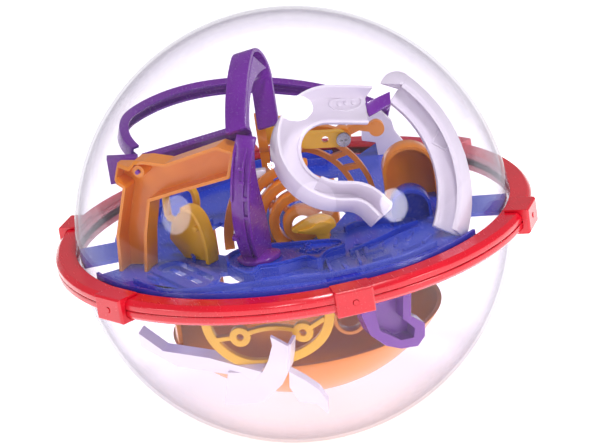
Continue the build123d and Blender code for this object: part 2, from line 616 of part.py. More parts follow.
lever_plane = arm_plane.offset(ARM_DEPTH + BOSS_LENGTH + LEVER_GAP)
with BuildPart() as lever:
    with BuildSketch(lever_plane):
        with Locations(Location((*PIVOT, 0), (0, 0, LEVER_TURN))):
            with Locations((LEVER_LENGTH / 2, 0)):
                SlotCenterToCenter(LEVER_LENGTH - LEVER_HEIGHT / 2, LEVER_HEIGHT)
            Circle(SCREW_RADIUS + FIT, mode=Mode.SUBTRACT)
            with Locations((LEVER_HOLE_PLACE, 0)):
                Circle(LEVER_HOLE, mode=Mode.SUBTRACT)
    extrude(amount=LEVER_THICK)
write(lever.part, "lever")

with BuildPart() as lever_screw:
    with BuildSketch(arm_plane):
        with Locations(PIVOT):
            Circle(SCREW_RADIUS)
    extrude(amount=ARM_DEPTH + BOSS_LENGTH + 2 * LEVER_GAP + LEVER_THICK)
    with BuildSketch(lever_plane.offset(LEVER_THICK + LEVER_GAP)):
        with Locations(PIVOT):
            Circle(SCREW_HEAD_RADIUS)
    extrude(amount=SCREW_HEAD)
    with BuildSketch(lever_plane.offset(LEVER_THICK + LEVER_GAP + SCREW_HEAD / 2)):
        with Locations(PIVOT):
            Rectangle(SCREW_HEAD_RADIUS, SCREW_CROSS)
            Rectangle(SCREW_CROSS, SCREW_HEAD_RADIUS)
    extrude(amount=SCREW_HEAD, mode=Mode.SUBTRACT)
write(lever_screw.part, "lever_screw")

# ---- orange bridge: two curved rails with rungs -------------------------
BRIDGE_RAILS = (
    ((8.6, 32.9), (21.6, 25.0), (28.6, 0.0)),
    ((22.0, 33.5), (31.6, 23.5), (36.4, 0.0)),
)
BRIDGE_RUNGS = (((24.0, 21.0), (32.5, 21.5)), ((20.0, 26.5), (28.5, 28.5)))
BRIDGE_WIDTH = 2.2
BRIDGE_DEPTH = 3.0
BRIDGE_OFFSET = -4.0
with BuildPart() as bridge:
    for points in BRIDGE_RAILS + BRIDGE_RUNGS:
        add(wall_line(facing(BRIDGE_OFFSET), points, BRIDGE_WIDTH, BRIDGE_DEPTH))
    split(bisect_by=Plane.XY.offset(DECK_TOP), keep=Keep.TOP)
write(bridge.part, "bridge")

# ---- white arch, on a circle about its own axis -------------------------
ARCH_AXIS = (0.11, -0.865, 0.49)
ARCH_OFFSET = 66.0 * LAYOUT
ARCH_INNER = 45.3 * LAYOUT
ARCH_OUTER = 61.0 * LAYOUT
ARCH_TIP = 53.5 * LAYOUT
ARCH_LIP = 2.4
ARCH_TIP_OFFSET = 72.8 * LAYOUT
ARCH_START = -36.0
ARCH_SWEEP = 80.0
arch_plane = square_to(ARCH_AXIS)
with BuildPart() as arch_track:
    with BuildSketch(turned(arch_plane, ARCH_START)):
        with BuildLine():
            Polyline(
                (ARCH_INNER, ARCH_OFFSET),
                (ARCH_OUTER, ARCH_OFFSET),
                (ARCH_TIP, ARCH_TIP_OFFSET),
                (ARCH_TIP - TRACK_WALL, ARCH_TIP_OFFSET),
                (ARCH_OUTER - 2 * TRACK_WALL, ARCH_OFFSET + TRACK_WALL),
                (ARCH_INNER + TRACK_WALL, ARCH_OFFSET + TRACK_WALL),
                (ARCH_INNER + TRACK_WALL, ARCH_OFFSET + ARCH_LIP),
                (ARCH_INNER, ARCH_OFFSET + ARCH_LIP),
                close=True,
            )
        make_face()
    revolve(axis=Axis(CENTRE, arch_plane.z_dir), revolution_arc=ARCH_SWEEP)
    split(bisect_by=Plane.XY.offset(DECK_TOP), keep=Keep.TOP)
write(arch_track.part, "arch_track")

# ---- white S track ------------------------------------------------------
S_AXIS = (0.147, -0.791, 0.594)
S_OFFSET = 73.0 * LAYOUT
S_WIDTH = 12.8
S_TOP = (21.0, 17.7)
S_TOP_LENGTH = 17.5
S_TOP_ANGLE = 164.0
S_BEND_RADIUS = 19.3
S_BEND_SWEEP = 150.0
S_TAIL_SWEEP = 30.0
S_TAIL_INSET = 4.0
S_MIDDLE = 4.0
S_FOOT_RADIUS = 15.0
S_FOOT_SWEEP = -50.0
S_FOOT_LENGTH = 5.0
S_WALL_HEIGHT = 13.0
S_LIP = 2.6
S_LINK_END = (33.0, 20.0)
S_LINK_WIDTH = 6.0
s_plane = square_to(S_AXIS, S_OFFSET)


def s_path(out, tail=False):
    """Line parallel to the S track's middle, shifted out of its bend; tail leaves out the top and the bend."""
    with BuildLine() as path:
        turned_out = radians(S_TOP_ANGLE - 90)
        start = Vector(*S_TOP) * LAYOUT + Vector(cos(turned_out), sin(turned_out)) * out
        top = PolarLine(start, S_TOP_LENGTH * LAYOUT, angle=S_TOP_ANGLE, mode=Mode.PRIVATE if tail else Mode.ADD)
        radius = S_BEND_RADIUS * LAYOUT + out
        bend = JernArc(top @ 1, top % 1, radius, S_BEND_SWEEP, mode=Mode.PRIVATE if tail else Mode.ADD)
        bend_end = JernArc(bend @ 1, bend % 1, radius, S_TAIL_SWEEP)
        middle = PolarLine(bend_end @ 1, S_MIDDLE * LAYOUT, direction=bend_end % 1)
        foot = JernArc(middle @ 1, middle % 1, S_FOOT_RADIUS * LAYOUT - out, S_FOOT_SWEEP)
        PolarLine(foot @ 1, S_FOOT_LENGTH * LAYOUT, direction=foot % 1)
    return path.line


S_SIDE = (S_WIDTH - TRACK_WALL) / 2
with BuildPart() as s_track:
    for path, width, height in (
        (s_path(0), S_WIDTH, TRACK_WALL),
        (s_path(S_SIDE), TRACK_WALL, S_WALL_HEIGHT),
        (s_path(-S_SIDE), TRACK_WALL, S_LIP),
        (s_path(S_TAIL_INSET - S_SIDE, tail=True), TRACK_WALL, S_WALL_HEIGHT),
    ):
        with BuildSketch(s_plane):
            trace(path, line_width=width)
        extrude(amount=height)
    add(ball_zone(REACH), mode=Mode.INTERSECT)
    with BuildSketch(s_plane):
        with BuildLine():
            Line((S_TOP[0] * LAYOUT, S_TOP[1] * LAYOUT), (S_LINK_END[0] * LAYOUT, S_LINK_END[1] * LAYOUT))
        trace(line_width=S_LINK_WIDTH)
    extrude(amount=TRACK_WALL)
    add(arch_track.part, mode=Mode.SUBTRACT)
write(s_track.part, "s_track")

# ---- white bracket behind, orange hood ---------------------------------
BRACKET_OFFSET = -67.0
BRACKET_OUTLINE = (
    (36.9, 27.8), (43.1, 26.8), (47.5, 24.0), (51.2, 19.3), (51.9, 14.4), (55.6, 8.0), (52.0, 2.0), (43.0, 2.0),
    (42.7, 10.2), (36.6, 12.1), (37.7, 20.5),
)
BRACKET_THICK = 3.0
with BuildPart() as rear_bracket:
    add(slab(facing(BRACKET_OFFSET), BRACKET_OUTLINE, BRACKET_THICK))
    split(bisect_by=Plane.XY.offset(DECK_TOP), keep=Keep.TOP)
write(rear_bracket.part, "rear_bracket")

CUP_SIDEWAYS = 53.0
CUP_OFFSET = -4.0
CUP_PLACE = front_x * CUP_SIDEWAYS * LAYOUT + FRONT * CUP_OFFSET * LAYOUT + Vector(0, 0, DECK_TOP)
CUP_HALF_WIDTH = 11.6
CUP_HEIGHT = 25.0
CUP_DEPTH = 10.0
cup_plane = Plane(origin=CUP_PLACE, x_dir=front_x, z_dir=FRONT)
write(hood(cup_plane, CUP_HALF_WIDTH, CUP_HEIGHT, CUP_DEPTH, TRACK_WALL), "orange_cup")

# ---- yellow scoop -------------------------------------------------------
SCOOP_OUTLINE = ((-1.1, 12.2), (6.2, 12.6), (12.0, 15.9), (17.6, 13.0), (17.4, 10.4), (12.6, 8.0), (12.6, 2.0),
                 (9.8, 2.0), (9.6, 7.6), (4.0, 8.8))
SCOOP_DEPTH = 6.0
SCOOP_OFFSET = 41.0
with BuildPart() as scoop:
    add(slab(facing(SCOOP_OFFSET), SCOOP_OUTLINE, SCOOP_DEPTH))
    split(bisect_by=Plane.XY.offset(DECK_TOP), keep=Keep.TOP)
write(scoop.part, "scoop")

# ---- lower half: yellow loop, white rail, chute and fin -----------------
LOOP_AXIS = (-0.384, -0.921, -0.069)
LOOP_OFFSET = 77.5 * LAYOUT
LOOP_DEPTH = 3.0
LOOP_BAND = 4.0
LOOP_POINTS = ((-23.0, 4.0), (-24.6, -14.0), (-12.9, -25.4), (4.0, -25.4), (18.0, -19.5), (25.0, 4.0))
LOOP_RINGS = ((-13.0, -13.5), (13.5, -13.5))
LOOP_RING_RADIUS = 4.4
LOOP_RING_HOLE = 1.5
LOOP_WAVE = ((-13.0, -13.5), (0.0, -10.5), (13.5, -13.5))
LOOP_TIES = (((-24.6, -14.0), (-13.0, -13.5)), ((13.5, -13.5), (23.5, -8.0)))
loop_plane = square_to(LOOP_AXIS, LOOP_OFFSET)
with BuildPart() as yellow_loop:
    with BuildSketch(loop_plane):
        with BuildLine():
            Spline(*[(x * LAYOUT, y * LAYOUT) for x, y in LOOP_POINTS])
        trace(line_width=LOOP_BAND)
        with BuildLine():
            Spline(*[(x * LAYOUT, y * LAYOUT) for x, y in LOOP_WAVE])
            for start, end in LOOP_TIES:
                Line(*[(x * LAYOUT, y * LAYOUT) for x, y in (start, end)])
        trace(line_width=LOOP_BAND / 2)
        with Locations(*[(x * LAYOUT, y * LAYOUT) for x, y in LOOP_RINGS]):
            Circle(LOOP_RING_RADIUS)
        with Locations(*[(x * LAYOUT, y * LAYOUT) for x, y in LOOP_RINGS]):
            Circle(LOOP_RING_HOLE, mode=Mode.SUBTRACT)
    extrude(amount=LOOP_DEPTH)
    split(bisect_by=Plane.XY.offset(DECK_BOTTOM), keep=Keep.BOTTOM)
write(yellow_loop.part, "yellow_loop")

LOWER_RAIL_AXIS = (-0.686, -0.621, -0.379)
LOWER_RAIL_OFFSET = 79.5 * LAYOUT
LOWER_RAIL_DEPTH = 5.0
LOWER_RAIL_OUTLINE = (
    (-27.0, 13.3), (-18.2, 3.8), (5.4, 3.0), (30.4, -1.6), (24.7, -7.7), (9.7, -5.8), (-14.5, -5.2), (-29.5, 4.6),
)
with BuildPart() as lower_rail:
    add(slab(square_to(LOWER_RAIL_AXIS, LOWER_RAIL_OFFSET), LOWER_RAIL_OUTLINE, LOWER_RAIL_DEPTH))
    add(ball_zone(REACH), mode=Mode.INTERSECT)
    add(yellow_loop.part, mode=Mode.SUBTRACT)
write(lower_rail.part, "lower_rail")

CHUTE_AXIS = (-0.582, -0.761, -0.288)
CHUTE_OFFSET = 84.5 * LAYOUT
CHUTE_WEB = 1.4
CHUTE_FLANGE = 6.0
CHUTE_OUTLINE = (
    (24.0, 9.0), (30.8, 4.0), (26.7, -9.0), (21.0, -17.6), (10.6, -27.0), (-0.8, -29.0), (-7.8, -29.0),
    (-1.2, -11.4), (14.8, -10.7), (19.5, -4.0), (23.6, 4.3),
)
CHUTE_EDGE = ((30.8, 4.0), (26.7, -9.0), (21.0, -17.6), (10.6, -27.0), (-0.8, -29.0))
chute_plane = square_to(CHUTE_AXIS, CHUTE_OFFSET)
with BuildPart() as j_chute:
    add(slab(chute_plane, CHUTE_OUTLINE, CHUTE_WEB))
    with BuildSketch(chute_plane):
        with BuildLine():
            Polyline(*[(x * LAYOUT, y * LAYOUT) for x, y in CHUTE_EDGE])
        trace(line_width=TRACK_WALL)
    extrude(amount=-CHUTE_FLANGE)
    add(ball_zone(REACH), mode=Mode.INTERSECT)
    add(yellow_loop.part, mode=Mode.SUBTRACT)
    add(lower_rail.part, mode=Mode.SUBTRACT)
write(j_chute.part, "j_chute")

FIN_AXIS = (-0.408, -0.697, -0.59)
FIN_OFFSET = 83.0 * LAYOUT
FIN_DEPTH = 3.0
FIN_OUTLINE = (
    (17.0, 20.0), (21.6, 13.1), (25.7, 4.6), (26.5, -6.0), (23.8, -15.8), (21.4, -7.1), (14.0, -5.2), (13.4, 7.5),
)
with BuildPart() as lower_fin:
    add(slab(square_to(FIN_AXIS, FIN_OFFSET), FIN_OUTLINE, FIN_DEPTH))
    add(ball_zone(REACH), mode=Mode.INTERSECT)
    add(j_chute.part, mode=Mode.SUBTRACT)
    add(yellow_loop.part, mode=Mode.SUBTRACT)
    add(lower_rail.part, mode=Mode.SUBTRACT)
write(lower_fin.part, "lower_fin")

# ---- orange dish and its posts ------------------------------------------
DISH_RADIUS = 73.0
DISH_WALL = 1.8
DISH_RIM = -42.0
DISH_POSTS = (60.0, 120.0, 180.0)
DISH_POST_PLACE = 57.5
DISH_POST_WIDTH = 5.0
DISH_POST_DEPTH = 2.0
with BuildPart() as dish:
    Sphere(DISH_RADIUS * LAYOUT)
    Sphere(DISH_RADIUS * LAYOUT - DISH_WALL, mode=Mode.SUBTRACT)
    split(bisect_by=Plane.XY.offset(DISH_RIM * LAYOUT), keep=Keep.BOTTOM)
    for angle in DISH_POSTS:
        with BuildSketch(Plane.XY.offset(DISH_RIM * LAYOUT - 2 * DISH_WALL)):
            with Locations(Location(CENTRE, (0, 0, angle))):
                with Locations((DISH_POST_PLACE * LAYOUT, 0)):
                    Rectangle(DISH_POST_DEPTH, DISH_POST_WIDTH)
        extrude(amount=DECK_BOTTOM - DISH_RIM * LAYOUT + 2 * DISH_WALL)
write(dish.part, "dish")

# ---- purple scoop under the front rim -----------------------------------
PURPLE_AXIS = (0.257, -0.931, -0.26)
PURPLE_OFFSET = 78.0 * LAYOUT
PURPLE_DEPTH = 7.0
PURPLE_WALL = 1.5
PURPLE_OUTLINE = (
    (-17.0, 25.0), (7.0, 25.0), (7.0, -1.0), (14.0, -7.2), (14.1, -13.8), (10.7, -17.7), (2.3, -16.0), (-5.0, -11.9),
    (-12.4, -4.2), (-17.0, 7.6),
)
PURPLE_POCKET = ((-12.0, 15.0), (3.0, 15.0), (3.0, -1.0), (9.0, -8.0), (8.5, -12.5), (2.3, -11.5), (-8.0, -3.0))
purple_plane = square_to(PURPLE_AXIS, PURPLE_OFFSET)
with BuildPart() as purple_scoop:
    add(slab(purple_plane, PURPLE_OUTLINE, PURPLE_DEPTH))
    add(slab(purple_plane.offset(PURPLE_WALL), PURPLE_POCKET, PURPLE_DEPTH), mode=Mode.SUBTRACT)
    split(bisect_by=Plane.XY.offset(DECK_BOTTOM), keep=Keep.BOTTOM)
    add(ball_zone(REACH), mode=Mode.INTERSECT)
    add(deck_rail.part, mode=Mode.SUBTRACT)
write(purple_scoop.part, "purple_scoop")

# ---- small orange cup under the deck ------------------------------------
HANGER_RADIUS = 7.0
HANGER_PLACE = (17.5 * LAYOUT, -26.0 * LAYOUT)
HANGER_WALL = 1.6
HANGER_DEPTH = 6.0
HANGER_OFFSET = 50.0
with BuildPart() as cup_hanger:
    with BuildSketch(facing(HANGER_OFFSET)):
        with Locations(HANGER_PLACE):
            Circle(HANGER_RADIUS)
            Circle(HANGER_RADIUS - HANGER_WALL, mode=Mode.SUBTRACT)
            Rectangle(2 * HANGER_RADIUS, HANGER_RADIUS, align=(Align.CENTER, Align.MIN), mode=Mode.SUBTRACT)
            with Locations((-HANGER_RADIUS + HANGER_WALL / 2, 0), (HANGER_RADIUS - HANGER_WALL / 2, 0)):
                Rectangle(HANGER_WALL, DECK_BOTTOM - HANGER_PLACE[1], align=(Align.CENTER, Align.MIN))
    extrude(amount=HANGER_DEPTH)
write(cup_hanger.part, "cup_hanger")

# ---- steel ball in the rear trough --------------------------------------
BALL_ANGLE = 100.0
ball_centre = Vector(
    TROUGH_RADIUS * cos(radians(BALL_ANGLE)),
    TROUGH_RADIUS * sin(radians(BALL_ANGLE)),
    DECK_TOP + TROUGH_FLOOR_GAP + BALL_RADIUS,
)
with BuildPart() as steel_ball:
    with Locations(Location(ball_centre)):
        Sphere(BALL_RADIUS)
write(steel_ball.part, "steel_ball")
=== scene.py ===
import json
import logging
import math
from dataclasses import dataclass, field
from enum import Enum

import bpy
from mathutils import Matrix, Vector


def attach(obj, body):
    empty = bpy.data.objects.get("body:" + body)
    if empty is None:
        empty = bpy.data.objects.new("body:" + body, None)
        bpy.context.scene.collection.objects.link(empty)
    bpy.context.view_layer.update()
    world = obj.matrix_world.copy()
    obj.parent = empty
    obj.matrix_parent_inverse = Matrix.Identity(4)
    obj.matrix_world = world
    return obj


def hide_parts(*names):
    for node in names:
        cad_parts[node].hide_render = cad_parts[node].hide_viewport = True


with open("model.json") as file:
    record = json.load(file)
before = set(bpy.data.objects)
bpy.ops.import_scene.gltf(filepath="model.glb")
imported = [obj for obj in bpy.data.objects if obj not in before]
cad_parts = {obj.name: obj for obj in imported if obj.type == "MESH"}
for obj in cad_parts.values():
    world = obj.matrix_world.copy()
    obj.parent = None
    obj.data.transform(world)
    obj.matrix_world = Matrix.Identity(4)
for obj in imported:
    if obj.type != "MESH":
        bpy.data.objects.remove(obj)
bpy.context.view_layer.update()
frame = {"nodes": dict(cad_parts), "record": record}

log = logging.getLogger("tilt_maze")

MM = 0.001
REACH = 91.5          # furthest, in millimetres, that a track reaches from the sphere's centre
DECK_TOP = 4.0        # height of the deck's face, in millimetres
PLATFORM_TOP = 8.0    # height of the platform's face
SINK = 0.1            # depth that a detail is sunk into the face it stands on
MERGE = 0.00001       # metres within which vertices are merged
EDGE_ANGLE = 35.0     # degrees above which an edge is rounded
EDGE_SEGMENTS = 2     # faces across a rounded edge
SMOOTH_ANGLE = 40.0   # degrees below which faces shade as one
FRONT = (-0.187, -0.982, 0.0)
SIDEWAYS = (0.982, -0.187, 0.0)
UPWARDS = (0.0, 0.0, 1.0)

Point = tuple[float, float]
Triple = tuple[float, float, float]
Colour = Triple


# ---- shader building ------------------------------------------------------


class Signal:
    """A node's output that takes part in arithmetic; each operator adds a Math node."""

    def __init__(self, shader: "Shader", socket: bpy.types.NodeSocket) -> None:
        """Wraps one output socket of a shader's tree."""
        self.shader = shader
        self.socket = socket

    def _math(self, operation: str, first: object, second: object) -> "Signal":
        """Adds a Math node.

        Args:
            operation: Blender's name of the operation.
            first: signal or number for the first input.
            second: signal or number for the second input.

        Returns:
            The result as a signal.
        """
        node = self.shader.node("ShaderNodeMath", {"operation": operation}, {0: first, 1: second})
        return Signal(self.shader, node.outputs[0])

    def __add__(self, other: object) -> "Signal":
        """Sum."""
        return self._math("ADD", self, other)

    __radd__ = __add__

    def __sub__(self, other: object) -> "Signal":
        """Difference."""
        return self._math("SUBTRACT", self, other)

    def __rsub__(self, other: object) -> "Signal":
        """Reflected difference, so that 1 - mask works."""
        return self._math("SUBTRACT", other, self)

    def __mul__(self, other: object) -> "Signal":
        """Product."""
        return self._math("MULTIPLY", self, other)

    __rmul__ = __mul__

    def __pow__(self, other: object) -> "Signal":
        """Power."""
        return self._math("POWER", self, other)


class Shader:
    """One material and its node tree."""

    def __init__(self, name: str) -> None:
        """Makes an empty node material of this name."""
        self.material = bpy.data.materials.new(name)
        self.material.use_nodes = True
        self.tree = self.material.node_tree
        self.tree.nodes.clear()

    def node(self, kind: str, settings: dict | None = None, inputs: dict | None = None) -> bpy.types.Node:
        """Adds a node.

        Args:
            kind: node type.
            settings: attributes set first; stops is a ramp's list of (place, colour).
            inputs: socket name or number to a value, a socket or a signal.

        Returns:
            The new node.
        """
        node = self.tree.nodes.new(kind)
        for name, value in (settings or {}).items():
            if name == "stops":
                ramp = node.color_ramp.elements
                while len(ramp) < len(value):
                    ramp.new(0.5)
                for element, (place, colour) in zip(ramp, value):
                    element.position = place
                    element.color = (*colour, 1.0)
            else:
                setattr(node, name, value)
        for name, value in (inputs or {}).items():
            if isinstance(value, Signal):
                value = value.socket
            if isinstance(value, bpy.types.NodeSocket):
                self.tree.links.new(value, node.inputs[name])
            elif isinstance(value, tuple) and len(value) == 3 and len(node.inputs[name].default_value) == 4:
                node.inputs[name].default_value = (*value, 1.0)
            else:
                node.inputs[name].default_value = value
        return node

    def signal(self, node: bpy.types.Node, output: int | str = 0) -> Signal:
        """A node's output as a signal."""
        return Signal(self, node.outputs[output])

    def place(self) -> bpy.types.NodeSocket:
        """The object coordinates of the point that is shaded."""
        return self.node("ShaderNodeTexCoord").outputs["Object"]

    def noise(
        self, scale: float, detail: float = 3.0, roughness: float = 0.5, stretch: Colour | None = None
    ) -> Signal:
        """Noise over the object.

        Args:
            scale: cells in a metre.
            detail: octaves.
            roughness: weight of the finer octaves.
            stretch: scale along each axis before the noise, for streaks.

        Returns:
            The noise from 0 to 1.
        """
        place = self.place()
        if stretch:
            place = self.node("ShaderNodeMapping", inputs={"Vector": place, "Scale": stretch}).outputs[0]
        noise = self.node(
            "ShaderNodeTexNoise",
            inputs={"Vector": place, "Scale": scale, "Detail": detail, "Roughness": roughness},
        )
        return self.signal(noise, "Fac")

    def band(self, value: Signal, low: float, high: float) -> Signal:
        """A value mapped so that low gives 0 and high gives 1, held between them."""
        node = self.node(
            "ShaderNodeMapRange", {"clamp": True}, {0: value, 1: low, 2: high, 3: 0.0, 4: 1.0}
        )
        return self.signal(node)

    def blend(self, share: Signal, first: object, second: object) -> bpy.types.NodeSocket:
        """A colour between two others."""
        node = self.node("ShaderNodeMix", {"data_type": "RGBA"}, {0: share, 6: first, 7: second})
        return node.outputs[2]

    def bump(self, height: Signal, strength: float, distance: float) -> bpy.types.NodeSocket:
        """A bumped normal from a height signal."""
        inputs = {"Height": height, "Strength": strength, "Distance": distance}
        return self.node("ShaderNodeBump", inputs=inputs).outputs[0]

    def surface(self, shader: bpy.types.Node) -> bpy.types.Material:
        """Ends the tree in this shader node and returns the material."""
        output = self.node("ShaderNodeOutputMaterial")
        self.tree.links.new(shader.outputs[0], output.inputs[0])
        return self.material


# ---- finishes -------------------------------------------------------------


@dataclass(frozen=True)
class MouldedPlastic:
    """Glossy injection-moulded plastic with flow marks, fine grain and handling scratches."""

    name: str
    colour: Colour
    shade: Colour
    roughness: float = 0.28
    flow: float = 0.5
    grain: float = 0.05
    glow: float = 0.0

    def material(self) -> bpy.types.Material:
        """Builds the material."""
        make = Shader(self.name)
        flow = make.band(make.noise(38.0, 4.0, 0.6), 0.3, 0.75)
        streak = make.band(make.noise(60.0, 3.0, 0.5, (1.0, 1.0, 6.0)), 0.45, 0.8)
        colour = make.blend(flow * self.flow + streak * 0.12, self.colour, self.shade)
        scuff = make.band(make.noise(900.0, 2.0, 0.7, (1.0, 0.12, 1.0)), 0.62, 0.7)
        rough = self.roughness + make.noise(160.0, 3.0) * 0.08 + scuff * 0.10
        grain = make.noise(2600.0, 2.0) + flow * 1.2
        principled = make.node(
            "ShaderNodeBsdfPrincipled",
            inputs={
                "Base Color": colour,
                "Roughness": rough,
                "IOR": 1.5,
                "Coat Weight": 0.35,
                "Coat Roughness": 0.12,
                "Subsurface Weight": self.glow,
                "Subsurface Radius": (1.0, 0.6, 0.5),
                "Subsurface Scale": 0.002,
                "Normal": make.bump(grain, self.grain, 0.0002),
            },
        )
        return make.surface(principled)


@dataclass(frozen=True)
class ClearPlastic:
    """Clear polished dome: almost all light passes, the rest mirrors the room."""

    name: str
    tint: Colour
    rim: Colour = (0.3, 0.28, 0.34)
    base: float = 0.022
    edge: float = 0.8

    def material(self) -> bpy.types.Material:
        """Builds the material."""
        make = Shader(self.name)
        facing = make.signal(make.node("ShaderNodeLayerWeight", inputs={"Blend": 0.5}), "Facing")
        haze = make.band(make.noise(14.0, 3.0), 0.35, 0.75)
        share = (facing ** 5.0) * self.edge + self.base + haze * 0.006
        clear = make.node("ShaderNodeBsdfTransparent", inputs={"Color": (0.962, 0.947, 0.972)})
        rim = make.band(facing, 0.55, 0.85)
        skin = make.node(
            "ShaderNodeBsdfPrincipled",
            inputs={
                "Base Color": make.blend(rim, self.tint, self.rim),
                "Metallic": (1.0 - rim) * 0.85,
                "IOR": 1.2,
                "Roughness": 0.02 + make.noise(300.0, 2.0) * 0.02,
                "Normal": make.bump(make.noise(9.0, 2.0), 0.05, 0.002),
            },
        )
        mixed = make.node("ShaderNodeMixShader", inputs={0: share, 1: clear.outputs[0], 2: skin.outputs[0]})
        return make.surface(mixed)


@dataclass(frozen=True)
class BrightSteel:
    """Polished steel with fine turning marks."""

    name: str
    colour: Colour = (0.42, 0.42, 0.45)
    roughness: float = 0.2

    def material(self) -> bpy.types.Material:
        """Builds the material."""
        make = Shader(self.name)
        smear = make.band(make.noise(220.0, 3.0), 0.35, 0.7)
        fine = make.noise(2400.0, 2.0, 0.6, (1.0, 0.1, 1.0))
        principled = make.node(
            "ShaderNodeBsdfPrincipled",
            inputs={
                "Base Color": make.blend(smear, self.colour, tuple(0.8 * c for c in self.colour)),
                "Metallic": 1.0,
                "Roughness": self.roughness + smear * 0.1,
                "Normal": make.bump(fine, 0.06, 0.0001),
            },
        )
        return make.surface(principled)


@dataclass(frozen=True)
class StudioPaper:
    """Seamless white studio paper."""

    name: str
    colour: Colour = (0.93, 0.93, 0.94)
    glow: float = 0.86

    def material(self) -> bpy.types.Material:
        """Builds the material."""
        make = Shader(self.name)
        fibre = make.band(make.noise(120.0, 3.0), 0.3, 0.7)
        principled = make.node(
            "ShaderNodeBsdfPrincipled",
            inputs={
                "Base Color": make.blend(fibre, self.colour, tuple(0.985 * c for c in self.colour)),
                "Roughness": 0.9,
                "Specular IOR Level": 0.1,
                "Emission Color": (1.0, 1.0, 1.0),
                "Emission Strength": self.glow,
            },
        )
        return make.surface(principled)


class Slot(Enum):
    """The record's material slots."""

    CLEAR = "clear_dome"
    RED = "red_plastic"
    STEEL = "bright_steel"
    BLUE = "blue_plastic"
    PURPLE = "purple_plastic"
    ORANGE = "orange_plastic"
    YELLOW = "yellow_plastic"
    WHITE = "white_plastic"


FINISHES = {
    Slot.CLEAR: ClearPlastic("dome_clear", (0.86, 0.84, 0.9)),
    Slot.RED: MouldedPlastic("ring_red", (0.72, 0.003, 0.02), (0.5, 0.002, 0.012), 0.2),
    Slot.STEEL: BrightSteel("screw_steel"),
    Slot.BLUE: MouldedPlastic("deck_blue", (0.014, 0.06, 0.62), (0.007, 0.03, 0.42), 0.22),
    Slot.PURPLE: MouldedPlastic("track_purple", (0.19, 0.02, 0.36), (0.09, 0.006, 0.19), 0.22),
    Slot.ORANGE: MouldedPlastic("track_orange", (0.9, 0.3, 0.014), (0.74, 0.19, 0.005), 0.26),
    Slot.YELLOW: MouldedPlastic("track_yellow", (0.92, 0.52, 0.012), (0.78, 0.34, 0.004), 0.26),
    Slot.WHITE: MouldedPlastic("track_white", (0.9, 0.86, 0.92), (0.72, 0.66, 0.78), 0.32),
}


class Palette:
    """Makes each finish once and hands it to the pieces."""

    def __init__(self) -> None:
        """Builds every material."""
        self.made = {slot: finish.material() for slot, finish in FINISHES.items()}

    def dress(self, piece: bpy.types.Object, slot: Slot) -> None:
        """Gives a piece the material of a slot."""
        piece.data.materials.clear()
        piece.data.materials.append(self.made[slot])


# ---- modelling ------------------------------------------------------------


@dataclass(frozen=True)
class Seat:
    """A plane square to a direction, with a level X, that a piece is modelled on."""

    normal: Triple
    offset: float = 0.0

    def matrix(self) -> Matrix:
        """The plane's place, in metres."""
        out = Vector(self.normal).normalized()
        level = Vector((0, 0, 1)).cross(out).normalized() if abs(out.z) < 0.999 else Vector((1, 0, 0))
        up = out.cross(level)
        turn = Matrix((level, up, out)).transposed().to_4x4()
        turn.translation = out * self.offset * MM
        return turn


@dataclass(frozen=True)
class Run:
    """One length of a track: straight if turn is 0, else an arc that turns by that many degrees."""

    size: float
    turn: float = 0.0


